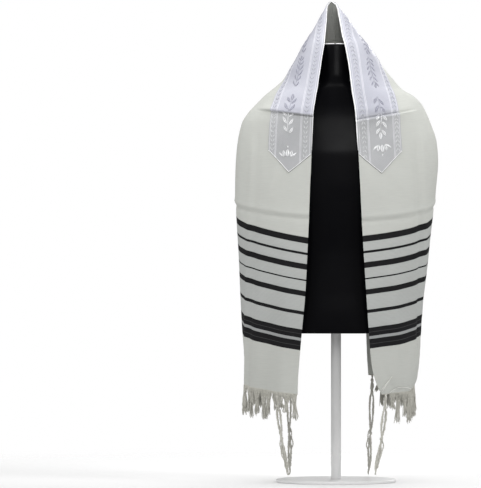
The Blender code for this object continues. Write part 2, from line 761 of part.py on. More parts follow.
def lathe(name, profile, material, segments=ROUND_SEGMENTS):
    """A closed turned shape about Z; the profile runs from the axis at the bottom to the axis at the top."""
    points, faces = [], []
    rings = []
    for radius, height in profile:
        if radius == 0:
            points.append((0, 0, height))
            rings.append([len(points) - 1])
            continue
        ring = []
        for i in range(segments):
            turn = 2 * math.pi * i / segments
            points.append((radius * math.cos(turn), radius * math.sin(turn), height))
            ring.append(len(points) - 1)
        rings.append(ring)
    for low, high in zip(rings, rings[1:]):
        for i in range(segments):
            j = (i + 1) % segments
            if len(low) == 1:
                faces.append([low[0], high[j], high[i]])
            elif len(high) == 1:
                faces.append([low[i], low[j], high[0]])
            else:
                faces.append([low[i], low[j], high[j], high[i]])
    return new_object(name, points, faces, material)


def make_form():
    """The torso and neck, one closed shape, with rounded rims at the neck and the bottom."""
    levels = row_heights([(1.093, 1.010, 4), (1.010, 0.935, 6), (0.935, 0.815, 4), (0.815, FORM_BOTTOM, 9)])
    rims = [(levels[0], EDGE_ROUND)] + [(levels[0] - EDGE_ROUND, 0.0)]
    rims += [(level, 0.0) for level in levels[1:-1]]
    rims += [(levels[-1] + EDGE_ROUND, 0.0), (levels[-1], EDGE_ROUND)]
    points, faces = [], []
    rings = []
    for level, inset in rims:
        width, front, back, power = (column("form", n, level) for n in FormSection._fields[1:])
        ring = []
        for i in range(FORM_SEGMENTS):
            turn = 2 * math.pi * i / FORM_SEGMENTS
            angle = turn if turn <= math.pi else 2 * math.pi - turn
            x, y = oval(np.array(angle), width - inset, front + inset, 0.0, back - inset, power)
            points.append((float(x) * (1 if turn <= math.pi else -1), float(y), level))
            ring.append(len(points) - 1)
        rings.append(ring)
    for high, low in zip(rings, rings[1:]):
        for i in range(FORM_SEGMENTS):
            j = (i + 1) % FORM_SEGMENTS
            faces.append([low[i], low[j], high[j], high[i]])
    faces.append(rings[0])
    faces.append(rings[-1][::-1])
    return new_object("dress_form", points, faces, BLACK)


def make_stand():
    bevel = 0.002
    lathe(
        "stand_base",
        [
            (0, 0),
            (BASE_RADIUS - bevel, 0),
            (BASE_RADIUS, bevel),
            (BASE_RADIUS, BASE_THICKNESS - bevel),
            (BASE_RADIUS - bevel, BASE_THICKNESS),
            (0, BASE_THICKNESS),
        ],
        WHITE,
        48,
    )
    foot = BASE_THICKNESS + SEAM_GAP
    top = FORM_BOTTOM - SEAM_GAP
    lathe("stand_pole", [(0, foot), (POLE_RADIUS, foot), (POLE_RADIUS, top), (0, top)], WHITE, 24)


def main():
    for existing in list(bpy.data.objects):
        bpy.data.objects.remove(existing, do_unlink=True)
    make_cloth()
    make_band()
    for side in (-1, 1):
        make_fringe(side)
    make_corner_tassels()
    make_form()
    make_stand()


main()
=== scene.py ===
"""The looks of the fringed prayer shawl on its dress form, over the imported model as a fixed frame.

The sections below are the part's own, so each piece lies where its solid is. The cloth is a fine grid of
threads: a row is a thread across the cloth, named by its height at the front edge, and a column is a share of
the way along it. Stripes, ribs and the neck band's pattern are all placed on that grid.
"""

import math
from collections import namedtuple

import bpy
import numpy as np
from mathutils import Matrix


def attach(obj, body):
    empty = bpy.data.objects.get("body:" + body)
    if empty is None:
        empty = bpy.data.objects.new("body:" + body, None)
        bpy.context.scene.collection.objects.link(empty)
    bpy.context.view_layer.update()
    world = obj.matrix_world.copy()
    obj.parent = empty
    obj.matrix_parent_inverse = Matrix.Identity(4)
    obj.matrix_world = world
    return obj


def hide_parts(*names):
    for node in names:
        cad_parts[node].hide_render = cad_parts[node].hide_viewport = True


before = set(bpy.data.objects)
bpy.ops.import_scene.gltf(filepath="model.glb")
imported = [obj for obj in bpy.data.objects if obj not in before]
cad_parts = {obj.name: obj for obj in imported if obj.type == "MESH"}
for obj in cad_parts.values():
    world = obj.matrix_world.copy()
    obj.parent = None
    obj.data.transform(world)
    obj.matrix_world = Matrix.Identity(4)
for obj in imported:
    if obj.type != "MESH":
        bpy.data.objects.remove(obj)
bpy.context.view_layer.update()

# ---- the part's own measures ----
PEAK = (-0.0115, 0.0150, 1.2020)
HEM_HEIGHT = 0.222
BACK_ARCH_HEIGHT = 0.560
BACK_ARCH_POWER = 2.6
BACK_EDGE_AT_HEM = {-1: 0.100, 1: 0.074}
BAND_WIDTH = 0.110
BAND_SHOULDER_HEIGHT = 0.818
BAND_TIP_HEIGHT = 0.765
FORM_BOTTOM = 0.373
FORM_TOP = 1.093
FOLDS = {-1: (-0.90, 1.05, 0.80), 1: (-0.50, 1.10, 0.90)}
FOLD_CLEARANCE = 0.022
FOLD_SIDEWAYS = 0.2
FOLDS_NARROW = (0.82, 0.28)
FOLDS_TO_EDGE = 0.007
LOCK_PITCH = 0.0165
LOCK_LENGTH = 0.066
KNOT_DEPTH = 0.020
FRINGE_STRIP = 0.004
TASSEL_ROOM = 0.0215
TASSEL_LEAN_ROOM = 0.030
TASSEL_KNOTS = (0.035, 0.16, 0.58)
TASSEL_LONGER = 0.012
TASSEL_OVER_FLOOR = 0.014
TASSEL_STRANDS = 8
TASSEL_TWIST = 0.030
TASSEL_PLY_TWIST = 0.012
SIDE_NAMES = {-1: "left", 1: "right"}

Section = namedtuple("Section", "height centre left right edge_left edge_right front middle back power")
SECTIONS = [Section(*row) for row in (
    (1.2, -0.011, 0.006, 0.006, 0.0054, 0.0054, 0.0125, 0.015, 0.018, 2),
    (1.196, -0.01, 0.01, 0.0105, 0.0092, 0.0095, 0.0108, 0.015, 0.021, 2),
    (1.19, -0.01, 0.0138, 0.0145, 0.0118, 0.012, 0.008, 0.015, 0.025, 2),
    (1.182, -0.009, 0.0185, 0.019, 0.014, 0.014, 0.0045, 0.0145, 0.0295, 2),
    (1.16, -0.006, 0.0345, 0.0345, 0.018, 0.015, -0.008, 0.013, 0.0405, 2),
    (1.135, -0.003, 0.0505, 0.049, 0.023, 0.0165, -0.026, 0.01, 0.051, 2),
    (1.11, -0.001, 0.068, 0.0635, 0.0275, 0.019, -0.047, 0.007, 0.06, 2),
    (1.093, 0, 0.081, 0.08, 0.03, 0.023, -0.062, 0.005, 0.065, 2),
    (1.055, 0, 0.101, 0.106, 0.0365, 0.03, -0.08, 0.003, 0.074, 2),
    (1.03, 0, 0.118, 0.123, 0.04, 0.034, -0.091, 0.002, 0.079, 2),
    (1.005, 0, 0.133, 0.144, 0.044, 0.037, -0.102, 0.001, 0.084, 2.05),
    (0.982, 0, 0.157, 0.166, 0.047, 0.04, -0.113, 0, 0.09, 2.1),
    (0.967, 0, 0.176, 0.191, 0.05, 0.042, -0.12, 0, 0.095, 2.15),
    (0.946, 0, 0.198, 0.212, 0.053, 0.046, -0.129, 0, 0.103, 2.2),
    (0.925, 0, 0.218, 0.224, 0.056, 0.049, -0.137, 0, 0.11, 2.3),
    (0.898, 0, 0.235, 0.236, 0.058, 0.051, -0.136, 0, 0.118, 2.4),
    (0.848, 0, 0.246, 0.252, 0.06, 0.054, -0.135, 0, 0.126, 2.5),
    (0.805, 0, 0.25, 0.255, 0.061, 0.0565, -0.135, 0, 0.129, 2.6),
    (0.738, 0, 0.252, 0.25, 0.064, 0.06, -0.135, 0, 0.13, 2.7),
    (0.652, 0, 0.248, 0.242, 0.067, 0.064, -0.133, 0, 0.13, 2.8),
    (0.565, 0, 0.243, 0.231, 0.071, 0.069, -0.131, 0, 0.13, 2.8),
    (0.47, 0, 0.239, 0.219, 0.076, 0.075, -0.128, 0, 0.129, 2.8),
    (0.383, 0, 0.235, 0.211, 0.084, 0.081, -0.124, 0, 0.127, 2.8),
    (0.3, 0, 0.229, 0.204, 0.091, 0.088, -0.119, 0, 0.124, 2.8),
    (0.255, 0, 0.228, 0.198, 0.094, 0.098, -0.116, 0, 0.122, 2.8),
    (0.215, 0, 0.227, 0.188, 0.095, 0.117, -0.114, 0, 0.12, 2.8),
)]
Rise = namedtuple("Rise", "distance left right")
RISES = [Rise(*row) for row in (
    (0, 0, 0), (0.06, 0.011, 0.008), (0.12, 0.025, 0.019), (0.18, 0.041, 0.035),
    (0.26, 0.06, 0.055), (0.4, 0.078, 0.074), (0.6, 0.084, 0.082),
)]
RiseShare = namedtuple("RiseShare", "height share")
RISE_SHARES = [RiseShare(*row) for row in (
    (0.21, 0.62), (0.3, 0.85), (0.36, 1), (0.66, 1), (0.76, 0.75),
    (0.87, 0.15), (0.93, 0),
)]
FoldDepth = namedtuple("FoldDepth", "height depth")
FOLD_DEPTHS = [FoldDepth(*row) for row in (
    (0.215, 0.05), (0.3, 0.049), (0.4, 0.046), (0.5, 0.041), (0.6, 0.033),
    (0.7, 0.022), (0.78, 0.012), (0.85, 0.004), (0.91, 0),
)]
FormSection = namedtuple("FormSection", "height half_width front back power")
FORM_SECTIONS = [FormSection(*row) for row in (
    (1.093, 0.057, -0.057, 0.0632, 2), (1.05, 0.057, -0.058, 0.063, 2),
    (1.015, 0.059, -0.062, 0.06, 2), (0.997, 0.074, -0.069, 0.064, 2),
    (0.984, 0.113, -0.078, 0.07, 2), (0.972, 0.148, -0.084, 0.076, 2.1),
    (0.956, 0.1825, -0.091, 0.083, 2.2), (0.935, 0.2006, -0.1, 0.092, 2.3),
    (0.905, 0.211, -0.108, 0.102, 2.4), (0.865, 0.213, -0.115, 0.11, 2.4),
    (0.815, 0.205, -0.121, 0.115, 2.4), (0.75, 0.184, -0.121, 0.113, 2.4),
    (0.66, 0.166, -0.114, 0.103, 2.4), (0.57, 0.156, -0.106, 0.093, 2.4),
    (0.48, 0.163, -0.108, 0.101, 2.4), (0.41, 0.172, -0.112, 0.109, 2.4),
    (FORM_BOTTOM, 0.174, -0.112, 0.11, 2.4),
)]
Tassel = namedtuple("Tassel", "side place inset length lean")
TASSELS = [
    Tassel(-1, "front", 0.052, 0.188, -0.028),
    Tassel(-1, "back", 0.018, 0.250, 0.003),
    Tassel(1, "front", 0.010, 0.182, -0.026),
    Tassel(1, "back", 0.010, 0.245, 0.009),
]

# ---- what the photo shows on the cloth ----
# The stripes, by the height of their threads at the front edge: bottom, top and colour.
BLACK_YARN = (0.016, 0.016, 0.017)
DARK_LINE = (0.060, 0.060, 0.062)
GREY_LINE = (0.34, 0.35, 0.35)
Stripe = namedtuple("Stripe", "bottom top colour")
STRIPES = [Stripe(*row) for row in (
    (0.5950, 0.6098, BLACK_YARN), (0.5667, 0.5720, BLACK_YARN), (0.5298, 0.5439, BLACK_YARN),
    (0.5022, 0.5058, BLACK_YARN), (0.4650, 0.4779, BLACK_YARN), (0.4189, 0.4276, BLACK_YARN),
    (0.3611, 0.3708, BLACK_YARN), (0.3708, 0.3720, DARK_LINE), (0.3720, 0.3826, BLACK_YARN),
    (0.3544, 0.3611, GREY_LINE), (0.3309, 0.3416, BLACK_YARN), (0.3416, 0.3429, DARK_LINE),
    (0.3429, 0.3544, BLACK_YARN),
)]
STRIPED_HEIGHTS = (0.320, 0.620)
RIBBED_HEIGHTS = (0.384, 0.612)
RIGHT_THREADS_HIGHER = 0.0045
CREAM = (0.548, 0.558, 0.526)
RIBBED_GREY = (0.500, 0.514, 0.500)
SHEET_WALL = 0.0010
ROW_MARKS = (0.942, 0.886, 0.672, 0.626)
ROWS_BETWEEN_MARKS = (47, 38, 18, 12, 5)
ROWS_BELOW_ARCH = 47
BAND_COLUMNS = 26
SIDE_COLUMNS = 24
FOLD_COLUMNS = 60
EDGE_COLUMNS = 8
COLUMNS = BAND_COLUMNS + SIDE_COLUMNS + FOLD_COLUMNS + EDGE_COLUMNS
SECTION_SAMPLES = 241
SHARES = np.linspace(0, 1, SECTION_SAMPLES)
THREADS_PER_LOCK = 22

# The creases of each side: the fold across the shoulders by its height at the front edge, its slope, how far
# from that edge it reaches and how far its lip stands out; the crease across the chest by its height and slope;
# the creases down it, as distance and depth; and the slack folds under it, as distance, width and depth.
Creases = namedtuple("Creases", "fold fold_slope fold_reach lip across across_slope down slack")
CREASES = {
    -1: Creases(
        0.9138, 0.11, 0.170, 0.0070, 0.6560, 0.09, ((0.138, -0.0030), (0.158, 0.0058)),
        ((0.040, 0.018, 0.0040), (0.082, 0.018, -0.0040), (0.122, 0.018, 0.0036)),
    ),
    1: Creases(
        0.8985, 0.165, 0.180, 0.0056, 0.6500, 0.06, ((0.150, -0.0056), (0.172, 0.0040)),
        ((0.036, 0.016, -0.0032), (0.074, 0.017, 0.0044), (0.114, 0.018, -0.0036)),
    ),
}
FRONT_EDGE_AT_FOLD = {-1: 0.056, 1: 0.050}

# ---- the neck band's ornament ----
BAND_LIFT = 0.0005
BAND_THICK = 0.0009
BAND_FACE = BAND_LIFT + BAND_THICK
# A leaf's cross-section: shares of its half width, and of its height over the band.
VEINED_LEAF = [(-1, 0.0), (-0.5, 1.0), (0, 0.35), (0.5, 1.0), (1, 0.0), (0, -0.3)]
HOLLOW_LEAF = [
    (-1, 0), (-0.65, 1), (-0.25, 0.4), (-0.16, -0.3), (0.16, -0.3), (0.25, 0.4), (0.65, 1), (1, 0), (0, -0.5)
]
HOLLOW_FROM = 0.0050
# Sprays of the neck band, from their start to their end along the strip, as lengths from the peak down the
# right side. On the left side they run the other way, as one woven strip does.
Spray = namedtuple("Spray", "start end leaf_size leaf_width pitch bend")
SPRAYS = [
    Spray(0.078, 0.140, 0.0105, 0.0036, 0.0140, 0.020),
    Spray(0.158, 0.250, 0.0130, 0.0042, 0.0145, -0.020),
    Spray(0.281, 0.386, 0.0160, 0.0066, 0.0175, 0.025),
]
ORNAMENT_CENTRE = 0.54
# The leaves of the blossom: where each starts and ends, across from its middle and down from its top.
Petal = namedtuple("Petal", "across down end_across end_down width bow")
PETALS = [
    Petal(-0.0100, 0.0010, -0.0225, 0.0120, 0.0048, 0.0014),
    Petal(-0.0075, 0.0000, -0.0112, 0.0165, 0.0078, 0.0000),
    Petal(0.0000, -0.0005, 0.0002, 0.0195, 0.0092, 0.0000),
    Petal(0.0075, -0.0010, 0.0112, 0.0150, 0.0074, 0.0000),
    Petal(0.0085, -0.0015, 0.0225, 0.0085, 0.0050, 0.0014),
]
BLOSSOM_START = {-1: -0.444, 1: 0.411}
CHEVRON_CENTRES = (0.145, 0.905)
CHEVRON_PITCH = 0.0120
CHEVRON_LENGTH = 0.0080
# Each chevron is a bright stroke and a dark one behind it, which is a painted shadow of it: shift along the strip,
# width and brightness.
CHEVRON_STROKES = ((0.0, 0.0019, 0.8), (0.0020, 0.0019, 0.0))

# ---- the studio ----
FLOOR_RADIUS = 1.9
FLOOR_FADES_FROM = 0.7
AIR_STRENGTH = 0.35
Light = namedtuple("Light", "name place aim size power spread")
LIGHTS = [
    Light("left", (-2.5, -1.9, 2.5), (0, 0, 1.15), (1.3, 1.3), 7.0, 55),
    Light("right", (2.6, -1.7, 2.3), (0, 0, 1.15), (1.3, 1.3), 7.0, 55),
    Light("front", (0.2, -3.2, 1.9), (0, 0, 1.30), (1.2, 1.2), 3.6, 60),
    Light("top", (0, 0.3, 3.2), (0, 0, 0.8), (4.0, 2.0), 56, 180),
    Light("back", (0.9, 3.2, 2.0), (0, 0, 0.7), (1.8, 1.8), 44, 180),
]
# The photo is 481 by 488 pixels of 2.5 mm at the object, which stands right of its middle.
PHOTO_SIZE = (481, 488)
FIGURE_AXIS, FLOOR_LINE = 336.0, 482
PIXEL = 0.0025
CAMERA_DISTANCE = 12.0
SENSOR = 36

random = np.random.default_rng(11)
DOWN = np.array([0, 0, -1.0])


def unit(vectors):
    return vectors / np.linalg.norm(vectors, axis=-1, keepdims=True)


def lengths_along(points):
    """How far each point of a line is from its first, measured along it."""
    return np.concatenate([[0], np.cumsum(np.linalg.norm(np.diff(points, axis=0), axis=1))])


def read_line(at, keys, points):
    """The points of a line at some values of its keys."""
    return np.stack([np.interp(at, keys, points[:, i]) for i in range(points.shape[1])], axis=-1)


def turned(angle, first, second):
    """Points at some angles round a circle or oval, given by its two half axes."""
    return np.outer(np.cos(angle), first) + np.outer(np.sin(angle), second)


def even_parts(marks, counts):
    """Even steps from mark to mark, with a count for each part. The first mark is left out."""
    return np.concatenate([np.linspace(a, b, n + 1)[1:] for a, b, n in zip(marks, marks[1:], counts)])


def blend(share, a, b):
    return a * (1 - share) + b * share


def read_table(table, row, column):
    """A table's value at a fractional row and column."""
    i, j = row.astype(int), column.astype(int)
    deep = (...,) + (None,) * (table.ndim - 2)
    across = (column - j)[deep]
    low, high = (blend(across, table[k, j], table[k, j + 1]) for k in (i, i + 1))
    return blend((row - i)[deep], low, high)


def smooth_step(value):
    value = np.clip(value, 0.0, 1.0)
    return value * value * (3 - 2 * value)


def smooth_curve(rows, name):
    """A named column of a table as a smooth function of its first column that doesn't overshoot."""
    rows = sorted(rows, key=lambda row: row[0])
    xs = np.array([row[0] for row in rows], float)
    ys = np.array([getattr(row, name) for row in rows], float)
    steps = np.diff(xs)
    slopes = np.diff(ys) / steps
    tangents = np.zeros(len(xs))
    tangents[0], tangents[-1] = slopes[0], slopes[-1]
    for i in range(1, len(xs) - 1):
        if slopes[i - 1] * slopes[i] > 0:
            before = 2 * steps[i] + steps[i - 1]
            after = steps[i] + 2 * steps[i - 1]
            tangents[i] = (before + after) / (before / slopes[i - 1] + after / slopes[i])

    def at(value):
        value = np.clip(value, xs[0], xs[-1])
        i = np.clip(np.searchsorted(xs, value) - 1, 0, len(xs) - 2)
        h = steps[i]
        t = (value - xs[i]) / h
        return (
            ys[i] * (1 + 2 * t) * (1 - t) ** 2
            + ys[i + 1] * t * t * (3 - 2 * t)
            + tangents[i] * h * t * (1 - t) ** 2
            + tangents[i + 1] * h * t * t * (t - 1)
        )

    return at


cloth_curves = {name: smooth_curve(SECTIONS, name) for name in Section._fields[1:]}
form_curves = {name: smooth_curve(FORM_SECTIONS, name) for name in FormSection._fields[1:]}
rise_curves = {-1: smooth_curve(RISES, "left"), 1: smooth_curve(RISES, "right")}
rise_share = smooth_curve(RISE_SHARES, "share")
fold_depth_at = smooth_curve(FOLD_DEPTHS, "depth")


def oval(angle, reach, front, middle, back, power):
    across = np.abs(np.sin(angle)) ** (2 / power)
    along = np.abs(np.cos(angle)) ** (2 / power)
    depth = np.where(np.cos(angle) > 0, front - middle, back - middle)
    return reach * across, middle + depth * along


def half_section(side, height):
    word = SIDE_NAMES[side]
    value = {name: float(curve(height)) for name, curve in cloth_curves.items()}
    start = math.asin(min(1.0, value["edge_" + word] / value[word]) ** (value["power"] / 2))
    angle = start + (math.pi - start) * np.linspace(0, 1, 181)
    x, y = oval(angle, value[word], value["front"], value["middle"], value["back"], value["power"])
    x = value["centre"] + side * x
    return x, y, lengths_along(np.stack([x, y], axis=1))


class SideTable:
    """Every level half-section of one side, sampled evenly along its length, to read many points at once."""

    def __init__(self, side):
        self.heights = np.linspace(0.200, PEAK[2] + 0.002, 700)
        self.points, self.full = [], []
        for height in self.heights:
            x, y, length = half_section(side, height)
            self.points.append(read_line(SHARES * length[-1], length, np.stack([x, y], axis=1)))
            self.full.append(length[-1])
        self.points, self.full = np.array(self.points), np.array(self.full)

    def full_length(self, height):
        return np.interp(height, self.heights, self.full)

    def nearest(self, height):
        return int(np.argmin(np.abs(self.heights - height)))

    def at(self, height, share):
        step = self.heights[1] - self.heights[0]
        row = np.clip((height - self.heights[0]) / step, 0, len(self.heights) - 1.001)
        return read_table(self.points, row, np.clip(share * (SECTION_SAMPLES - 1), 0, SECTION_SAMPLES - 1.001))

    def fold_start(self, height):
        """How far from the front edge the folds of a row start."""
        i, front = self.nearest(height), SECTION_SAMPLES // 8
        return float(np.interp(FOLD_CLEARANCE, self.points[i, front:, 1], SHARES[front:]) * self.full[i])


sides = {side: SideTable(side) for side in (-1, 1)}


def back_edge(side, height):
    share = np.clip((height - HEM_HEIGHT) / (BACK_ARCH_HEIGHT - HEM_HEIGHT), 0, 1)
    return BACK_EDGE_AT_HEM[side] * np.sqrt(np.maximum(0, 1 - share**BACK_ARCH_POWER))


def cloth_reach(side, height):
    """The length of a row from its front edge to its far edge or the middle of the back."""
    table = sides[side]
    full = float(table.full_length(height))
    if height >= BACK_ARCH_HEIGHT:
        return full
    i, behind = table.nearest(height), SECTION_SAMPLES // 2
    edge = float(back_edge(side, height))
    return float(np.interp(-edge, -np.abs(table.points[i, behind:, 0]), SHARES[behind:])) * full


def bare_surface(side, row_height, distance):
    table = sides[side]
    height = row_height + rise_share(row_height) * rise_curves[side](distance)
    level = table.at(height, distance / table.full_length(row_height))
    return np.concatenate([level, height[..., None]], axis=-1)


def turned_out(side, row_height, distance):
    step = 0.003
    full = sides[side].full_length(row_height)
    up = bare_surface(side, row_height + step, distance) - bare_surface(side, row_height - step, distance)
    ahead = bare_surface(side, row_height, np.minimum(distance + step, full))
    behind = bare_surface(side, row_height, np.maximum(distance - step, 0))
    normal = np.cross(ahead - behind, up) * side
    return normal / np.maximum(np.linalg.norm(normal, axis=-1, keepdims=True), 1e-9)


# ---- small forms laid into the cloth ----
def ripple(point):
    """A soft, uneven undulation a few centimetres to a hand wide."""
    x, y, z = point[..., 0], point[..., 1], point[..., 2]
    return (
        0.42 * np.sin(31 * x + 9 * z + 1.3) * np.sin(17 * z + 8 * y + 0.4)
        + 0.33 * np.sin(58 * x - 14 * z + 2.1) * np.cos(11 * z + 0.9)
        + 0.25 * np.sin(23 * z + 37 * y + 12 * x)
        + 0.22 * np.sin(83 * x + 5 * z + 19 * y + 0.7) * np.sin(9 * z + 2.2)
    )


def groove(offset, width):
    """A soft V-shaped groove, 1 at its bottom."""
    return np.exp(-np.abs(offset) / width)


def swell(offset, width):
    """A rounded swelling, 1 at its top."""
    return np.exp(-((offset / width) ** 2))


def small_forms(side, row_height, distance, point):
    """How far the creases and undulations move the cloth out, in metres."""
    own = CREASES[side]
    out = 0.0017 * smooth_step((1.17 - point[..., 2]) / 0.10) * ripple(point)
    # The fold across the shoulders: on the left the upper part hangs over a little, on the right the lower
    # part stands out.
    beyond = -side * (row_height - (own.fold + own.fold_slope * distance))
    reach = smooth_step((own.fold_reach - distance) / 0.06)
    lip = np.where(beyond > 0, np.exp(-beyond / 0.020), swell(beyond, 0.0015))
    out = out + own.lip * reach * lip - 0.0022 * reach * swell(beyond + 0.0036, 0.0026)
    # Creases across and down, from folding the shawl for its packet.
    across = row_height - (own.across - own.across_slope * distance)
    out = out - 0.0040 * groove(across, 0.0050) + 0.0030 * groove(across - 0.012, 0.008)
    for at, depth in own.down:
        out = out + depth * smooth_step((0.90 - row_height) / 0.10) * groove(distance - at, 0.009)
    # Slack hanging folds in the panels' fronts, deeper towards the hem.
    for at, width, depth in own.slack:
        out = out + depth * smooth_step((0.66 - row_height) / 0.35) * swell(distance - at, width)
    # Drag lines from the shoulder under the neck band's point.
    drag = distance - (0.075 + 0.35 * (0.80 - row_height))
    near = smooth_step((0.80 - row_height) / 0.05) * smooth_step((row_height - 0.68) / 0.06)
    return out + 0.0020 * near * groove(drag, 0.007)


def chest_share(height):
    """0 on the hood and 1 on the chest, where the neck band hangs straight."""
    return smooth_step((1.085 - height) / 0.065)


def band_share(side, height):
    back = bare_surface(side, np.array([height]), np.array([cloth_reach(side, height)]))[0]
    far = float(np.linalg.norm(back - np.array(PEAK)))
    if far <= BAND_WIDTH:
        return 1.0
    on_hood = math.asin(BAND_WIDTH / far) / (math.pi / 2)
    on_chest = BAND_WIDTH / cloth_reach(side, height)
    return min(1.0, blend(float(chest_share(height)), on_hood, on_chest))


def row_distances(side, height):
    """The distances from the front edge of a row's columns."""
    reach = cloth_reach(side, height)
    band = band_share(side, height)
    on_back = float(smooth_step((0.93 - height) / 0.06))
    narrowed = float(smooth_step((FOLDS_NARROW[0] - height) / (FOLDS_NARROW[0] - FOLDS_NARROW[1])))
    short = BACK_EDGE_AT_HEM[side] * 1.1 * narrowed + FOLDS_TO_EDGE
    fold_start = sides[side].fold_start(height)
    fold_end = float(sides[side].full_length(height)) - short
    start = blend(on_back, band + 0.3 * (1 - band), fold_start / reach)
    end = blend(on_back, band + 0.95 * (1 - band), fold_end / reach)
    shares = even_parts((0, band, start, end, 1), (BAND_COLUMNS, SIDE_COLUMNS, FOLD_COLUMNS, EDGE_COLUMNS))
    return np.append(0, shares) * reach, fold_start, fold_end


def grid_heights():
    """The heights of the rows, close together where a crease or the arch needs it."""
    top = PEAK[2] - 0.004 - 0.020 * np.linspace(0, 1, 9) ** 1.6
    arch = BACK_ARCH_HEIGHT - 0.070 * np.linspace(0, 1, 17)[1:] ** 1.5
    upper = even_parts((top[-1], *ROW_MARKS, BACK_ARCH_HEIGHT), ROWS_BETWEEN_MARKS)
    return np.concatenate([top, upper, arch, even_parts((arch[-1], HEM_HEIGHT), (ROWS_BELOW_ARCH,))])


HEIGHTS = grid_heights()
ROW_HEIGHTS = np.repeat(HEIGHTS[:, None], COLUMNS + 1, axis=1)
JOINED = HEIGHTS >= BACK_ARCH_HEIGHT - 1e-9


def make_grid(side):
    """The cloth's outer face on one side as rows and columns of points, and each point's distance."""
    distance, start, end = (np.array(part) for part in zip(*(row_distances(side, height) for height in HEIGHTS)))
    point = bare_surface(side, ROW_HEIGHTS, distance)
    phase = (distance - start[:, None]) / (end - start)[:, None] * 3
    shares = np.array(FOLDS[side])[np.clip(phase.astype(int), 0, 2)]
    wave = np.where((phase > 0) & (phase < 3), np.sin(np.pi * phase) ** 2, 0)
    out = fold_depth_at(point[..., 2]) * shares * wave
    towards = turned_out(side, ROW_HEIGHTS, distance)
    towards[..., 0] = np.where(out > 0, towards[..., 0] * FOLD_SIDEWAYS, towards[..., 0])
    return point + unit(towards) * out[..., None], distance


def grid_normals(side, point):
    """Unit normals of a grid of points, outwards."""
    normal = np.cross(np.gradient(point, axis=1), -np.gradient(point, axis=0)) * side
    size = np.linalg.norm(normal, axis=-1, keepdims=True)
    normal = np.where(size > 1e-12, normal / np.maximum(size, 1e-12), np.array([0, 0, 1.0]))
    normal[JOINED, -1, 0] = 0
    return unit(normal)


grids, reaches = {}, {}
for which in (-1, 1):
    bare, reaches[which] = make_grid(which)
    forms = small_forms(which, ROW_HEIGHTS, reaches[which], bare)
    forms *= smooth_step((PEAK[2] - 0.012 - ROW_HEIGHTS) / 0.03)
    grids[which] = bare + grid_normals(which, bare) * forms[..., None]
middle = (grids[-1][:, -1] + grids[1][:, -1]) / 2
middle[:, 0] = cloth_curves["centre"](middle[:, 2])
for which in (-1, 1):
    grids[which][JOINED, -1] = middle[JOINED]
normals = {side: grid_normals(side, grids[side]) for side in (-1, 1)}
shared = unit(normals[-1][:, -1] + normals[1][:, -1])
for which in (-1, 1):
    normals[which][JOINED, -1] = shared[JOINED]
front_length = {side: lengths_along(grids[side][:, 0]) for side in (-1, 1)}


def on_cloth(side, row, column, lift=0.0):
    """A point over the cloth at a fractional row and column of its grid."""
    row = np.clip(np.asarray(row, float), 0, len(HEIGHTS) - 1.0001)
    column = np.clip(np.asarray(column, float), 0, COLUMNS - 0.0001)
    normal = unit(read_table(normals[side], row, column))
    return read_table(grids[side], row, column) + normal * np.asarray(lift)[..., None]


def row_of_height(height):
    return np.interp(-np.asarray(height), -HEIGHTS, np.arange(len(HEIGHTS)))


# The neck band is one straight strip. Round the peak it is half a turn of flat cloth, so there a point's place
# along the strip and across it follows from its distance and its turn about the peak; on the chest it follows
# from the row and the share of the band's width. Between the two it changes smoothly.
backs = {
    side: bare_surface(side, HEIGHTS, np.array([cloth_reach(side, height) for height in HEIGHTS])) for side in (-1, 1)
}
peak_radius = {side: np.linalg.norm(backs[side] - np.array(PEAK), axis=1) for side in (-1, 1)}
band_shares = {side: np.array([band_share(side, h) for h in HEIGHTS]) for side in (-1, 1)}
chest_rows = chest_share(HEIGHTS)
row_numbers = np.arange(len(HEIGHTS))


def at_row(row, values):
    return np.interp(row, row_numbers, values)


def strip_marks(side, row, column):
    """How far along and across the strip a place of the grid is: across is 0 to 1, along is from the peak."""
    share = column / BAND_COLUMNS * at_row(row, band_shares[side])
    turn = share * np.pi / 2
    chest, front, back = (at_row(row, values) for values in (chest_rows, front_length[side], peak_radius[side]))
    across = blend(chest, np.sin(turn) * back / BAND_WIDTH, column / BAND_COLUMNS)
    along = blend(chest, blend(share, front, back) * np.cos(turn), front)
    return np.stack([across, along], axis=-1)


def on_strip(strip, across, lift):
    """A point over the neck band by its place along the strip: 0 is the peak, the left end is negative."""
    side = -1 if float(np.mean(strip)) < 0 else 1
    along, across = np.broadcast_arrays(np.abs(strip), np.asarray(across, float))
    turn = np.arctan2(across * BAND_WIDTH, along)
    share = turn / (np.pi / 2)
    hood_row = np.array([
        np.interp(radius, blend(part, front_length[side], peak_radius[side]), row_numbers)
        for radius, part in zip(np.hypot(along, across * BAND_WIDTH), share)
    ])
    hood_column = share / at_row(hood_row, band_shares[side]) * BAND_COLUMNS
    chest_row = np.interp(along, front_length[side], row_numbers)
    chest = at_row((hood_row + chest_row) / 2, chest_rows)
    return on_cloth(side, blend(chest, hood_row, chest_row), blend(chest, hood_column, across * BAND_COLUMNS), lift)


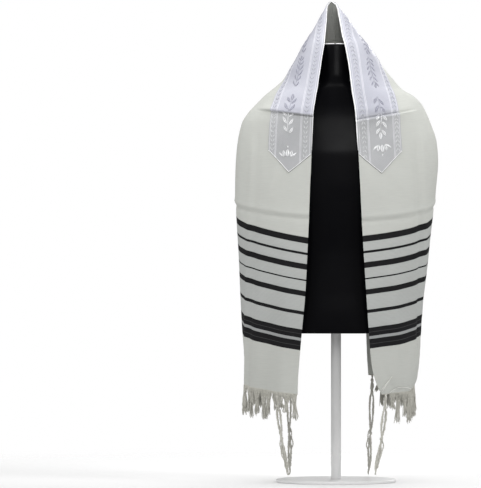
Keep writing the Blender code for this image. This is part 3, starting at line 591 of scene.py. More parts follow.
class Builder:
    """Gathers the points and faces of one mesh, with a two-value coordinate at each point."""

    def __init__(self):
        self.points, self.faces, self.marks = [], [], []

    def add(self, points, marks=None):
        first = len(self.points)
        points = np.asarray(points, float).reshape(-1, 3)
        marks = np.zeros((len(points), 2)) if marks is None else np.asarray(marks, float).reshape(-1, 2)
        self.points.extend(points)
        self.marks.extend(marks)
        return first

    def join(self, rings, count):
        """Faces between closed rings of points, each ring given by its first point."""
        for a, b in zip(rings, rings[1:]):
            for k in range(count):
                m = (k + 1) % count
                self.faces.append((a + k, a + m, b + m, b + k))

    def solid(self, rings, count):
        """The faces of a solid through rings of points, with flat ends."""
        self.join(rings[::-1], count)
        self.faces.append(tuple(rings[0] + k for k in range(count)))
        self.faces.append(tuple(rings[-1] + k for k in reversed(range(count))))

    def finish(self, name, material, slot, nodes=(), sharp=None):
        mesh = bpy.data.meshes.new(name)
        mesh.from_pydata([tuple(map(float, p)) for p in self.points], [], self.faces)
        mesh.validate()
        layer = mesh.uv_layers.new(name="cut")
        corner = np.empty(len(mesh.loops), dtype=np.int32)
        mesh.loops.foreach_get("vertex_index", corner)
        layer.data.foreach_set("uv", np.array(self.marks)[corner].astype(np.float32).ravel())
        mesh.materials.append(material)
        mesh.shade_smooth()
        if sharp:
            mesh.set_sharp_from_angle(angle=math.radians(sharp))
        made = bpy.data.objects.new(name, mesh)
        bpy.context.scene.collection.objects.link(made)
        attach(made, "root")
        if nodes:
            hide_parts(*nodes)
        return made


def tube(builder, path, radius, sides_count=6, marks_from=0.0):
    """A closed round tube along a path, with pointed ends."""
    path = np.asarray(path, float)
    radius = np.broadcast_to(np.asarray(radius, float), (len(path),))
    tangent = np.gradient(path, axis=0)
    tangent /= np.maximum(np.linalg.norm(tangent, axis=1, keepdims=True), 1e-12)
    normal = unit(np.cross(tangent[0], (0.3, 0.5, 0.8)))
    angle = 2 * np.pi * np.arange(sides_count) / sides_count
    length = lengths_along(path) + marks_from
    rings = []
    for i in range(len(path)):
        normal = unit(normal - tangent[i] * np.dot(normal, tangent[i]))
        ring = path[i] + radius[i] * turned(angle, normal, np.cross(tangent[i], normal))
        rings.append(builder.add(ring, np.stack([angle / (2 * np.pi), np.full(sides_count, length[i])], axis=1)))
    builder.join(rings, sides_count)
    first = builder.add([path[0] - tangent[0] * radius[0] * 0.6], [[0, length[0]]])
    last = builder.add([path[-1] + tangent[-1] * radius[-1] * 0.6], [[0, length[-1]]])
    for k in range(sides_count):
        m = (k + 1) % sides_count
        builder.faces.append((first, rings[0] + m, rings[0] + k))
        builder.faces.append((last, rings[-1] + k, rings[-1] + m))


# ---- materials ----
class Shader:
    """A small helper to write a node material as sums of plain steps."""

    def __init__(self, name, **sockets):
        self.material = bpy.data.materials.new(name)
        self.material.use_nodes = True
        self.tree = self.material.node_tree
        self.surface = self.tree.nodes["Principled BSDF"]
        for socket, value in sockets.items():
            self.surface.inputs[socket.replace("_", " ")].default_value = value

    def node(self, kind, *values, **settings):
        """A node with its settings, and the values or links of its first inputs."""
        node = self.tree.nodes.new("ShaderNode" + kind)
        for name, value in settings.items():
            setattr(node, name, value)
        for i, value in enumerate(values):
            if isinstance(value, bpy.types.NodeSocket):
                self.tree.links.new(value, node.inputs[i])
            elif value is not None:
                node.inputs[i].default_value = value
        return node

    def math(self, operation, *values):
        return self.node("Math", *values, operation=operation).outputs[0]

    def times(self, a, b):
        return self.math("MULTIPLY", a, b)

    def plus(self, a, b):
        return self.math("ADD", a, b)

    def cut(self):
        """The piece's own two coordinates."""
        split = self.node("SeparateXYZ", self.node("UVMap", uv_map="cut").outputs[0])
        return split.outputs[0], split.outputs[1]

    def place(self):
        return self.node("TexCoord").outputs["Object"]

    def noise(self, vector, scale, detail=3.0):
        return self.node("TexNoise", vector, None, scale, detail).outputs["Fac"]

    def mix(self, share, a, b):
        a, b = ((*value, 1) if isinstance(value, tuple) else value for value in (a, b))
        return self.node("Mix", share, *[None] * 5, a, b, data_type="RGBA").outputs[2]

    def spread(self, value, *limits):
        """A value's range from low to high, moved to another range."""
        return self.node("MapRange", value, *limits).outputs[0]

    def bump(self, height, distance, strength, under=None):
        node = self.node("Bump")
        node.inputs["Distance"].default_value = distance
        node.inputs["Strength"].default_value = strength
        self.tree.links.new(height, node.inputs["Height"])
        if under is not None:
            self.tree.links.new(under, node.inputs["Normal"])
        return node.outputs[0]

    def wave(self, value, period):
        """0 to 1 and back over each period."""
        turn = self.times(value, 2 * math.pi / period)
        return self.math("MULTIPLY_ADD", self.math("SINE", turn), 0.5, 0.5)

    def within(self, value, low, high, soft):
        """1 between low and high."""
        up = self.spread(value, low - soft, low + soft, 0.0, 1.0)
        return self.times(up, self.spread(value, high - soft, high + soft, 1.0, 0.0))

    def below_fold(self, place):
        """0 over the fold across the shoulders and 1 under it: the mask for painted light, by which the satin is
        painted lighter and the silk darker over the fold.
        """
        x, _, z = self.node("SeparateXYZ", place).outputs
        drops = []
        for side in (-1, 1):
            own = CREASES[side]
            past_edge = self.math("MULTIPLY_ADD", x, float(side), -FRONT_EDGE_AT_FOLD[side])
            drops.append(self.math("SUBTRACT", self.math("MULTIPLY_ADD", past_edge, own.fold_slope, own.fold), z))
        left = self.spread(drops[0], -0.002, 0.002, 0.0, 1.0)
        # On the right the switch is spread over the 16 mm above the fold, so the satin is painted greyer towards it.
        right = self.spread(drops[1], -0.016, 0.004, 0.0, 1.0)
        return self.node("Mix", self.math("GREATER_THAN", x, 0.0), None, left, right).outputs[0]

    def finish(self, colour, roughness, normal):
        for socket, value in (("Base Color", colour), ("Roughness", roughness), ("Normal", normal)):
            if value is not None:
                self.tree.links.new(value, self.surface.inputs[socket])
        return self.material


def weave_shader():
    s = Shader("woven_cloth", Roughness=0.9, Sheen_Weight=0.02, Sheen_Roughness=0.5, Specular_IOR_Level=0.03)
    across, thread = s.cut()
    place = s.place()
    # Stripes by thread height, as steps of one ramp.
    low, high = STRIPED_HEIGHTS
    stops = [(low, CREAM)]
    for stripe in sorted(STRIPES):
        if stops[-1][0] < stripe.bottom - 1e-6:
            stops.append((stripe.bottom, stripe.colour))
        else:
            stops[-1] = (stripe.bottom, stripe.colour)
        stops.append((stripe.top, RIBBED_GREY))
    stops[-1] = (stops[-1][0], CREAM)
    wander = s.times(s.math("SUBTRACT", s.noise(place, 9.0, 2.0), 0.5), 0.0012)
    ramp = s.node("ValToRGB", s.spread(s.plus(thread, wander), low, high, 0.0, 1.0))
    ramp.color_ramp.interpolation = "CONSTANT"
    elements = ramp.color_ramp.elements
    elements.remove(elements[-1])
    elements[0].position, elements[0].color = 0.0, (*CREAM, 1)
    for position, colour in stops[1:]:
        elements.new((position - low) / (high - low)).color = (*colour, 1)
    ribs = s.times(s.wave(thread, 0.0031), s.within(thread, *RIBBED_HEIGHTS, 0.002))
    blotch = s.spread(s.noise(place, 5.0, 4.0), 0.3, 0.7, 0.0, 0.06)
    stretched = s.node("VectorMath", place, (40, 40, 900), operation="MULTIPLY").outputs[0]
    slub = s.spread(s.noise(stretched, 1.0, 2.0), 0.35, 0.75, 0.0, 0.06)
    shade = s.plus(s.plus(s.times(ribs, 0.14), blotch), slub)
    colour = s.mix(shade, ramp.outputs[0], (0.006, 0.006, 0.006))
    weave = s.times(s.plus(s.wave(across, 0.0011), s.wave(thread, 0.0013)), 0.35)
    ridged = s.plus(weave, s.times(ribs, 0.9))
    soft = s.bump(s.noise(place, 60.0), 0.0008, 0.35)
    return s.finish(colour, None, s.bump(ridged, 0.0006, 0.5, soft))


def satin_shader():
    """The neck band's ground: satin with a fine damask field between bands of woven lines, its ground painted lighter
    over the shoulder fold and greyer under it as painted light.
    """
    s = Shader("band_satin", Sheen_Weight=0.15, Sheen_Roughness=0.3, Specular_IOR_Level=0.7)
    across, along = s.cut()
    place = s.place()
    aside = s.times(across, BAND_WIDTH)
    diagonals = [s.wave(s.math(way, aside, along), 0.0052) for way in ("ADD", "SUBTRACT")]
    field = s.within(across, 0.275, 0.805, 0.006)
    figure = s.times(s.spread(s.times(*diagonals), 0.30, 0.50, 0.0, 1.0), field)
    ribs = s.times(s.wave(across, 0.0260), s.math("SUBTRACT", 1.0, field))
    lines = None
    for at, half in ((0.040, 0.004), (0.238, 0.005), (0.264, 0.005), (0.818, 0.005), (0.842, 0.004), (0.972, 0.005)):
        line = s.within(across, at - half, at + half, 0.003)
        lines = line if lines is None else s.math("MAXIMUM", lines, line)
    cloudy = s.spread(s.noise(place, 14.0, 4.0), 0.3, 0.7, 0.0, 1.0)
    # Painted light: upper is a lit copy of the satin ground for over the shoulder fold, lower a shaded copy for under
    # it.
    upper = s.mix(cloudy, (0.385, 0.391, 0.451), (0.458, 0.464, 0.524))
    lower = s.mix(cloudy, (0.355, 0.360, 0.370), (0.420, 0.426, 0.436))
    shade = s.plus(s.times(figure, 0.10), s.times(ribs, 0.06))
    colour = s.mix(shade, s.mix(s.below_fold(place), upper, lower), (0.16, 0.16, 0.18))
    colour = s.mix(s.times(lines, 0.70), colour, (0.80, 0.80, 0.84))
    height = s.plus(s.times(figure, 0.5), s.times(lines, 0.8))
    threads = s.plus(s.times(s.wave(along, 0.0011), 0.12), s.times(ribs, 0.3))
    soft = s.bump(s.noise(place, 38.0), 0.0012, 0.5)
    rough = s.spread(s.plus(figure, lines), 0.0, 1.0, 0.46, 0.34)
    return s.finish(colour, rough, s.bump(s.plus(height, threads), 0.0006, 0.6, soft))


def silk_shader(name, faint, full):
    """Silk stitches: white silk with painted shade that makes it dark over the shoulder fold, bright under it, or
    bright all over at 1.
    """
    s = Shader(name, Sheen_Weight=0.2, Specular_IOR_Level=0.6)
    bright, along = s.cut()
    place = s.place()
    shimmer = s.noise(place, 160.0, 2.0)
    # Painted shade: these dark colours are the white silk shaded over the fold; the shimmer noise is painted sheen.
    upper = s.mix(shimmer, (0.19, 0.195, 0.25), (0.33, 0.335, 0.41))
    colour = s.mix(s.math("MAXIMUM", s.below_fold(place), bright), upper, s.mix(shimmer, faint, full))
    rough = s.spread(s.noise(place, 90.0, 2.0), 0.2, 0.8, 0.34, 0.50)
    return s.finish(colour, rough, s.bump(s.wave(along, 0.0008), 0.0003, 0.6))


def cord_shader():
    s = Shader("white_satin_edge", Sheen_Weight=0.2, Specular_IOR_Level=0.5)
    around, along = s.cut()
    place = s.place()
    colour = s.mix(s.noise(place, 80.0), (0.86, 0.86, 0.87), (0.93, 0.93, 0.94))
    rough = s.spread(s.noise(place, 60.0, 2.0), 0.2, 0.8, 0.40, 0.55)
    twist = s.wave(s.plus(around, s.times(along, 450.0)), 1.0)
    return s.finish(colour, rough, s.bump(twist, 0.0003, 0.5))


def yarn_shader(name, light, painted_shade, turn):
    s = Shader(name, Roughness=0.9, Sheen_Weight=0.3, Sheen_Roughness=0.5, Specular_IOR_Level=0.2)
    around, along = s.cut()
    place = s.place()
    twist = s.wave(s.plus(around, s.times(along, 1 / turn)), 1.0)
    # Painted shade: the grooves of the twist are mixed towards the darker colour.
    groove_shade = s.times(s.math("SUBTRACT", 1.0, twist), 0.55)
    mottled = s.mix(s.noise(place, 30.0), light, tuple(0.86 * c for c in light))
    fuzz = s.times(s.noise(place, 900.0, 2.0), 0.5)
    return s.finish(s.mix(groove_shade, mottled, painted_shade), None, s.bump(s.plus(twist, fuzz), 0.0006, 0.7))


def cloudy_shader(name, colours, roughness, scales, bump, **sockets):
    """A hard, smooth finish with slight clouds: each scale has its detail, for colour, roughness and surface."""
    s = Shader(name, **sockets)
    place = s.place()
    colour, rough, surface = (s.noise(place, *scale) for scale in scales)
    return s.finish(s.mix(colour, *colours), s.spread(rough, 0.3, 0.7, *roughness), s.bump(surface, *bump))


def floor_shader():
    """A pale floor that thins out to nothing a couple of metres from the stand."""
    s = Shader("studio_floor", Roughness=0.9)
    place = s.place()
    far = s.node("VectorMath", place, operation="LENGTH").outputs["Value"]
    clear = s.spread(far, FLOOR_FADES_FROM, FLOOR_RADIUS, 1.0, 0.0)
    s.tree.links.new(clear, s.surface.inputs["Alpha"])
    return s.finish(s.mix(s.noise(place, 1.2, 2.0), (0.90, 0.90, 0.90), (0.92, 0.92, 0.92)), None, None)


woven = weave_shader()
satin = satin_shader()
silk = silk_shader("white_silk_stitch", (0.84, 0.85, 0.86), (0.93, 0.93, 0.94))
braid_silk = silk_shader("braid_silk_stitch", (0.52, 0.53, 0.54), (0.66, 0.67, 0.68))
edge_silk = cord_shader()
# Each yarn's second colour is the painted shade in its twist grooves.
painted_shadow_yarn = yarn_shader("painted_shadow_thread", (0.20, 0.20, 0.19), (0.12, 0.12, 0.11), 0.0016)
fringe_yarn = yarn_shader("fringe_yarn", (0.62, 0.61, 0.55), (0.36, 0.35, 0.31), 0.0030)
tassel_yarn = yarn_shader("tassel_yarn", (0.70, 0.69, 0.63), (0.41, 0.40, 0.35), 0.0026)
loop_yarn = yarn_shader("loop_yarn", (0.86, 0.86, 0.82), (0.66, 0.66, 0.62), 0.0026)
black = cloudy_shader(
    "gloss_black", ((0.0012, 0.0012, 0.0018), (0.0026, 0.0026, 0.0034)), (0.30, 0.42),
    ((14.0, 3.0), (22.0, 4.0), (9.0, 2.0)), (0.0015, 0.2),
    Coat_Weight=0.05, Coat_Roughness=0.20, Specular_IOR_Level=0.04,
)
paint = cloudy_shader(
    "white_paint", ((0.78, 0.78, 0.78), (0.84, 0.84, 0.84)), (0.34, 0.46),
    ((12.0, 4.0), (60.0, 3.0), (700.0, 2.0)), (0.0002, 0.25), Coat_Weight=0.3, Coat_Roughness=0.15,
)


# ---- the cloth ----
def make_sheet():
    """The whole cloth: its outer and inner faces, closed round every edge."""
    builder = Builder()
    peaks = [builder.add([np.array(PEAK) - (0, 0, depth)], [[0, PEAK[2]]]) for depth in (0, SHEET_WALL)]
    index = {}
    for side in (-1, 1):
        higher = RIGHT_THREADS_HIGHER if side > 0 else 0.0
        table = np.zeros((2, len(HEIGHTS), COLUMNS + 1), dtype=int)
        for r, height in enumerate(HEIGHTS):
            marks = np.stack([reaches[side][r], np.full(COLUMNS + 1, height - higher)], axis=1)
            for face, depth in enumerate((0, SHEET_WALL)):
                first = builder.add(grids[side][r] - normals[side][r] * depth, marks)
                table[face, r] = first + np.arange(COLUMNS + 1)
        if side > 0:
            table[:, JOINED, -1] = index[-1][:, JOINED, -1]
        index[side] = table
    edges = {}

    def cell(side, corners):
        """A face given by its corners as (row, column), with the face behind it."""
        face, back = (
            [peaks[i] if r is None else int(index[side][i, r, c]) for r, c in corners[::side]] for i in (0, 1)
        )
        builder.faces.append(tuple(face))
        builder.faces.append(tuple(back[::-1]))
        for k in range(len(face)):
            after = (k + 1) % len(face)
            edges[face[k], face[after]] = (back[k], back[after])

    for side in (-1, 1):
        for c in range(COLUMNS):
            cell(side, [(None, None), (0, c), (0, c + 1)])
            for r in range(len(HEIGHTS) - 1):
                cell(side, [(r, c), (r + 1, c), (r + 1, c + 1), (r, c + 1)])
    for (a, b), (u, v) in edges.items():
        if (b, a) not in edges:
            builder.faces.append((b, a, u, v))
    return builder.finish("shawl_cloth", woven, "cream_cloth", ["tallit_cloth"], sharp=80)


def shell_from(builder, outer, inner, marks, side):
    """A closed thin shell from two matching grids of points."""
    rows, columns = outer.shape[:2]
    numbers = np.arange(rows * columns).reshape(rows, columns)
    top, low = (builder.add(grid, marks) + numbers for grid in (outer, inner))

    def face(*corners):
        builder.faces.append(tuple(corners[::side]))

    for r in range(rows - 1):
        for c in range(columns - 1):
            face(top[r, c], top[r + 1, c], top[r + 1, c + 1], top[r, c + 1])
            face(low[r, c + 1], low[r + 1, c + 1], low[r + 1, c], low[r, c])
        face(top[r + 1, 0], top[r, 0], low[r, 0], low[r + 1, 0])
        face(top[r, -1], top[r + 1, -1], low[r + 1, -1], low[r, -1])
    for c in range(columns - 1):
        face(top[0, c], top[0, c + 1], low[0, c + 1], low[0, c])
        face(top[-1, c + 1], top[-1, c], low[-1, c], low[-1, c + 1])


def make_band():
    """The neck band: over the peak, down both front edges, and a point at each end."""
    builder = Builder()
    shoulder, tip = (float(row_of_height(height)) for height in (BAND_SHOULDER_HEIGHT, BAND_TIP_HEIGHT))
    columns = np.arange(BAND_COLUMNS + 1)
    for side in (-1, 1):
        rows = np.concatenate([np.arange(0, shoulder, 1.0), np.linspace(shoulder, tip, 15)])
        down = np.clip((rows - shoulder) / (tip - shoulder), 0, 1)[:, None]
        column = blend(down, columns / BAND_COLUMNS, 0.5) * BAND_COLUMNS
        row = np.repeat(rows[:, None], BAND_COLUMNS + 1, axis=1)
        outer, inner = (on_cloth(side, row, column, lift) for lift in (BAND_FACE, BAND_LIFT))
        shell_from(builder, outer, inner, strip_marks(side, row, column), side)
    # The cap over the very peak.
    for side in (-1, 1):
        row = np.zeros(BAND_COLUMNS + 1)
        centre, below = (builder.add([np.array(PEAK) + (0, 0, lift)]) for lift in (BAND_FACE, BAND_LIFT))
        first, under = (
            builder.add(on_cloth(side, row, columns, lift), strip_marks(side, row, columns))
            for lift in (BAND_FACE, BAND_LIFT)
        )
        for c in range(BAND_COLUMNS):
            builder.faces.append((centre, first + c, first + c + 1)[::side])
            builder.faces.append((below, under + c + 1, under + c)[::side])
    return builder.finish("neck_band", satin, "white_satin", ["atarah_band"], sharp=80)


def leaf(builder, path, width, height, stations=6, hollow=False, bright=0.0):
    """A raised leaf of silk stitches along a short path of (strip, across) on the neck band: veined or hollow."""
    scale = np.array([1, BAND_WIDTH])
    path = np.asarray(path, float)
    steps = lengths_along(path * scale)
    t = np.linspace(0, 1, stations)
    along = read_line(t * steps[-1], steps, path)
    heading = unit(np.gradient(along * scale, axis=0))
    aside = np.stack([-heading[:, 1], heading[:, 0]], axis=1) / scale
    half = width / 2 * np.sin(np.pi * np.clip(t, 0.04, 0.96)) ** 0.75
    rings = []
    for shift, lift in HOLLOW_LEAF if hollow else VEINED_LEAF:
        spot = along + aside * (half * shift)[:, None]
        rings.append(on_strip(spot[:, 0], spot[:, 1], np.full(stations, BAND_FACE + lift * height)))
    count = len(rings)
    # The first coordinate is bright: how much of the silk's painted shade over the fold is lifted, all of it at 1.
    mark = np.stack([np.full(stations, bright), t * steps[-1]], axis=1)
    first = builder.add(np.stack(rings, axis=1), np.repeat(mark[:, None], count, axis=1))
    builder.solid([first + count * i for i in range(stations)], count)


def spray(builder, start, end, centre, leaf_size, leaf_width, pitch, bend):
    """A branch of leaves in pairs from start to end along the strip, all pointing on towards its end."""
    ahead = 1 if end > start else -1
    length = abs(end - start)

    def stem(share):
        return start + ahead * length * share, centre + bend * math.sin(math.pi * share * 1.3)

    leaf(builder, [stem(share) for share in np.linspace(0, 0.93, 8)], 0.0018, 0.0006, 10)
    count = int(length / pitch)
    for share in (np.arange(count) + 0.15) / count:
        at, middle = stem(share)
        size = leaf_size * (0.80 + 0.35 * math.sin(math.pi * (share * 0.8 + 0.15)))
        for aside in (-1, 1):
            begin = at + ahead * 0.25 * pitch * (aside > 0)
            out = aside * size / BAND_WIDTH
            path = [
                (begin, middle + 0.15 * out),
                (begin + ahead * size * 0.50, middle + 0.52 * out),
                (begin + ahead * size * 0.98, middle + 0.74 * out),
            ]
            leaf(builder, path, leaf_width, 0.0009, 8, hollow=leaf_width > HOLLOW_FROM)
    at, middle = stem(0.93)
    leaf(builder, [(at, middle), (at + ahead * leaf_size * 1.1, middle)], leaf_width * 1.25, 0.0010, 8, hollow=True)


def blossom(builder, start, centre):
    """A swag of drooping leaves with a bud under it."""
    for petal in PETALS:
        begin = (start + petal.down, centre + petal.across / BAND_WIDTH)
        end = (start + petal.end_down, centre + petal.end_across / BAND_WIDTH)
        waist = (begin[0] * 0.45 + end[0] * 0.55 - petal.bow, (begin[1] + end[1]) / 2)
        leaf(builder, [begin, waist, end], petal.width, 0.0011, 9, hollow=petal.width > HOLLOW_FROM, bright=1.0)
    leaf(builder, [(start + 0.0235, centre), (start + 0.0285, centre)], 0.0048, 0.0011, 6, bright=1.0)


def band_limit(side, across):
    """How far down the neck band reaches at a share across it."""
    rows = row_of_height(np.array([BAND_SHOULDER_HEIGHT, BAND_TIP_HEIGHT]))
    shoulder, tip = np.interp(rows, np.arange(len(HEIGHTS)), front_length[side])
    return shoulder + (tip - shoulder) * (1 - np.abs(np.asarray(across) - 0.5) * 2)


def make_silk():
    """The band's raised silk: two columns of chevrons, leafy sprays between them, and a blossom at each end."""
    leaves, braids = Builder(), Builder()
    for side in (-1, 1):
        for centre in CHEVRON_CENTRES:
            for length in np.arange(0.014, float(band_limit(side, centre)) - 0.010, CHEVRON_PITCH):
                tip, tail = (length, length + CHEVRON_LENGTH)[::side]
                # The second stroke is a painted shadow: dark silk behind the bright stroke over the shoulder fold.
                for shift, width, bright in CHEVRON_STROKES:
                    for aside in (-1, 1):
                        ends = [(tip, aside * 0.004), (tail, aside * 0.048)]
                        chevron = [(side * (along + shift), centre + across) for along, across in ends]
                        leaf(braids, chevron, width, 0.0004, 5, bright=bright)
        for s in SPRAYS:
            start, end = (side * s.start, side * s.end)[::side]
            spray(leaves, start, end, ORNAMENT_CENTRE, s.leaf_size, s.leaf_width, s.pitch, s.bend)
        blossom(leaves, BLOSSOM_START[side], ORNAMENT_CENTRE)
    return [
        leaves.finish("band_leaves", silk, "white_satin"),
        braids.finish("band_braids", braid_silk, "white_satin"),
    ]


def make_point_cord_and_shadow():
    """The stitched edge of each point: a bright cord along it, and under it a dark thin tube as a painted shadow
    line.
    """
    bright, painted_shade = Builder(), Builder()
    for side in (-1, 1):
        across = np.concatenate([np.linspace(0.012, 0.5, 16), np.linspace(0.5, 0.988, 16)[1:]])
        length = band_limit(side, across)
        tube(bright, on_strip(side * (length - 0.0012), across, BAND_FACE), 0.0008)
        # Painted shadow: a dark tube laid on the cloth just past the point's edge.
        tube(painted_shade, on_strip(side * (length + 0.0009), across, 0.0001), 0.0006)
    return [bright.finish("point_cord", edge_silk, "white_satin"), painted_shade.finish("point_painted_shadow", painted_shadow_yarn, "cream_yarn")]


def make_piping():
    """The bright rolled edge of the neck band, up one front edge, over the peak and down the other."""
    builder = Builder()
    sides_points = {}
    last = int(row_of_height(BAND_SHOULDER_HEIGHT)) + 1
    for side in (-1, 1):
        edge = grids[side][:last, 0]
        sides_points[side] = edge + (unit(edge - grids[side][:last, 1]) + normals[side][:last, 0]) * 0.0006
    left, right = sides_points[-1][::-1][:-3], sides_points[1][3:]
    path = np.concatenate([left, [np.array(PEAK) + (0, -0.0015, 0.0004)], right])
    radius = np.concatenate([np.full(len(left), 0.0010), [0.0013], np.full(len(right), 0.0017)])
    ends = np.minimum(np.arange(len(path)), np.arange(len(path))[::-1]) / 5
    tube(builder, path, radius * np.clip(0.25 + ends, 0, 1), 8)
    return builder.finish("band_edge", edge_silk, "white_satin")


# ---- fringe ----
hem_lines = {}
for which in (-1, 1):
    line = grids[which][-1] - normals[which][-1] * SHEET_WALL / 2
    hem_lines[which] = (line, lengths_along(line))


def hem_at(side, distance):
    """A point of the hem, with the ways along it and out of the cloth."""
    line, length = hem_lines[side]
    behind, at, ahead = read_line(distance + np.array([-0.006, 0, 0.006]), length, line)
    along = unit((ahead - behind) * (1, 1, 0))
    return at, along, np.array([along[1], -along[0], 0]) * side


def hem_column(side, distance):
    return np.interp(distance, hem_lines[side][1], np.arange(COLUMNS + 1))


def tassel_distance(tassel):
    reach = hem_lines[tassel.side][1][-1]
    return tassel.inset if tassel.place == "front" else reach - tassel.inset


def has_room(side, distance):
    for tassel in TASSELS:
        gap = distance - tassel_distance(tassel)
        room = TASSEL_LEAN_ROOM if gap * tassel.lean > 0 else TASSEL_ROOM
        if tassel.side == side and abs(gap) < room:
            return False
    return True


def make_fringe(side):
    """Warp threads gathered and knotted into locks, with brushed-out ends."""
    builder = Builder()
    reach = hem_lines[side][1][-1]
    count = int((reach - 0.002) / LOCK_PITCH)
    margin = (reach - (count - 1) * LOCK_PITCH) / 2
    for number in range(count):
        middle = margin + number * LOCK_PITCH
        near = min(abs(middle - tassel_distance(t)) for t in TASSELS if t.side == side)
        shorter = 1.0 if has_room(side, middle) else 0.62
        if near < 0.006:
            continue
        at, along, out = hem_at(side, middle)
        swing = 0.0055 * math.sin(2.3 * number + side)
        lean = 0.004 * math.sin(1.7 * number)
        length = LOCK_LENGTH * (1 + 0.10 * math.sin(3.1 * number + 2 * side)) * shorter
        knot = KNOT_DEPTH * (0.85 + 0.25 * random.random())
        centre = at + DOWN * knot + along * swing * 0.15
        for thread in range(THREADS_PER_LOCK):
            side_share = (thread + 0.5) / THREADS_PER_LOCK * 2 - 1
            start, _, start_out = hem_at(side, middle + side_share * LOCK_PITCH * 0.52)
            start = start + DOWN * 0.0005 + start_out * random.normal(0, 0.0005)
            wiggle = random.normal(0, 1, (4, 2)) * 0.0009
            end_aside = swing + side_share * 0.0068 + random.normal(0, 0.0012)
            end_out = lean + random.normal(0, 0.0022)
            end_drop = length * (1 + random.normal(0, 0.050))
            angle = thread * 2.4
            waist = centre + along * (math.cos(angle) * 0.0016 + side_share * 0.0044)
            waist = waist + out * math.sin(angle) * 0.0018
            path = [start, (start + waist) / 2 + along * (wiggle[0, 0] + side_share * 0.0012), waist]
            for i, share in enumerate((0.30, 0.55, 0.80, 1.0)):
                drop = knot + (end_drop - knot) * share
                spread = share**0.6
                aside, away = (np.array([end_aside, end_out]) + wiggle[i]) * spread
                path.append(at + DOWN * drop + along * aside + out * away)
            smooth = read_line(np.linspace(0, len(path) - 1, 11), np.arange(len(path)), np.array(path))
            smooth[1:-1] = smooth[1:-1] * 0.5 + (smooth[:-2] + smooth[2:]) * 0.25
            radius = np.interp(np.linspace(0, 1, 11), [0, 0.2, 0.6, 1], [0.0008, 0.0007, 0.0009, 0.0006])
            tube(builder, smooth, radius, 5, random.random())
        # The knot: two loose turns round the lock.
        turns = np.linspace(0, 2 * np.pi * 1.8, 20)
        coil = turned(turns + number, along * 0.0048, out * 0.0026)
        tube(builder, centre + coil + np.outer(np.linspace(-0.0020, 0.0020, 20), DOWN), 0.0011, 6)
    name = SIDE_NAMES[side]
    return builder.finish(f"fringe_yarn_{name}", fringe_yarn, "cream_yarn", [f"fringe_{name}"])


def make_hem_roll(side):
    """The narrow rolled edge that the fringe comes out of."""
    builder = Builder()
    line, length = hem_lines[side]
    path = read_line(np.linspace(0.0005, length[-1] - 0.0005, 260), length, line)
    tube(builder, path + (0, 0, 0.0002), 0.0012, 6)
    return builder.finish(f"hem_roll_{SIDE_NAMES[side]}", fringe_yarn, "cream_yarn")


# ---- corner tassels ----
def wound(centre_line, radius, turns, wire, builder, along, out):
    """A cord wound round a line of points."""
    t = np.linspace(0, 1, max(8, int(turns * 11)))
    centre = read_line(t, np.linspace(0, 1, len(centre_line)), centre_line)
    angle = 2 * np.pi * turns * t
    tube(builder, centre + radius * turned(angle, along, out), wire, 5)


def make_tassel(tassel):
    """A corner tassel from under the hem: knotted and wound at its top, and hanging free."""
    builder = Builder()
    at, along, out = hem_at(tassel.side, tassel_distance(tassel))
    top_drop = FRINGE_STRIP + 0.0006

    def centre(drop):
        drop = np.asarray(drop, float)
        lean = tassel.lean * (np.maximum(drop, 0) / tassel.length) ** 1.5
        return at + np.outer(lean, along) + np.outer(top_drop + drop, DOWN)

    # The double knots, two under the hem with close windings between them, and one further down.
    knots = np.array(TASSEL_KNOTS) * tassel.length
    for knot in knots:
        line = centre(np.linspace(knot - 0.0026, knot + 0.0026, 4))
        wound(line, 0.0031, 1.8, 0.0014, builder, along, out)
        wound(line[::-1], 0.0027, 1.7, 0.0014, builder, -along, out)
    line = centre(np.linspace(knots[0] + 0.003, knots[1] - 0.003, 6))
    wound(line, 0.0023, (knots[1] - knots[0] - 0.006) / 0.0018, 0.0009, builder, along, out)
    # Strands in two bunches, which part between the knots, cross, and come together at the tip.
    steps = 44
    t = np.linspace(0, 1, steps)
    longer = min(TASSEL_LONGER, max(0.0, at[2] - top_drop - tassel.length - TASSEL_OVER_FLOOR))
    drops = np.concatenate([[-0.003], t[1:] * (tassel.length + longer)])
    pinch = np.ones(steps)
    for knot in knots:
        pinch *= 1 - 0.82 * swell(drops - knot, 0.009)
    low_knot = TASSEL_KNOTS[-1]
    for k in range(TASSEL_STRANDS):
        bunch = 1 if k % 2 else -1
        number = k // 2
        end = 1 - 0.16 * (number * 3 % 4) / 4
        own = t * end
        part = 0.0044 * np.sin(np.pi * np.clip(own / low_knot, 0, 1)) ** 0.6 * bunch
        part += 0.0030 * np.sin(np.pi * np.clip((own - low_knot) / (1 - low_knot), 0, 1)) * bunch
        loose = 0.0060 * (1 if k == 3 else 0.12) * np.sin(np.pi * np.clip((own - 0.5) / 0.3, 0, 1))
        phase = random.random(2) * 6.28
        wander = 0.0006 * np.sin(5.0 * np.pi * own + phase[0])
        angle = own * tassel.length / TASSEL_TWIST * 2 * np.pi * bunch + number * np.pi / 2
        a = (part + loose + wander + 0.0013 * np.cos(angle)) * pinch
        d = (0.0013 * np.sin(angle) + 0.0009 * np.sin(4.0 * np.pi * own + phase[1])) * pinch
        middle = centre(drops * end) + np.outer(a, along) + np.outer(d, out)
        twist = 2 * np.pi * tassel.length / TASSEL_PLY_TWIST * own
        for ply in (0, np.pi):
            tube(builder, middle + turned(twist + ply, along, out) * 0.0008, 0.0012, 5, ply)
        tip = middle[-1]
        wound(np.array([tip + (0, 0, 0.0035), tip + (0, 0, 0.0010)]), 0.0009, 1.6, 0.0008, builder, along, out)
    name = f"{tassel.place}_{SIDE_NAMES[tassel.side]}"
    return builder.finish(f"corner_tassel_{name}", tassel_yarn, "cream_yarn", [f"tzitzit_{name}"])


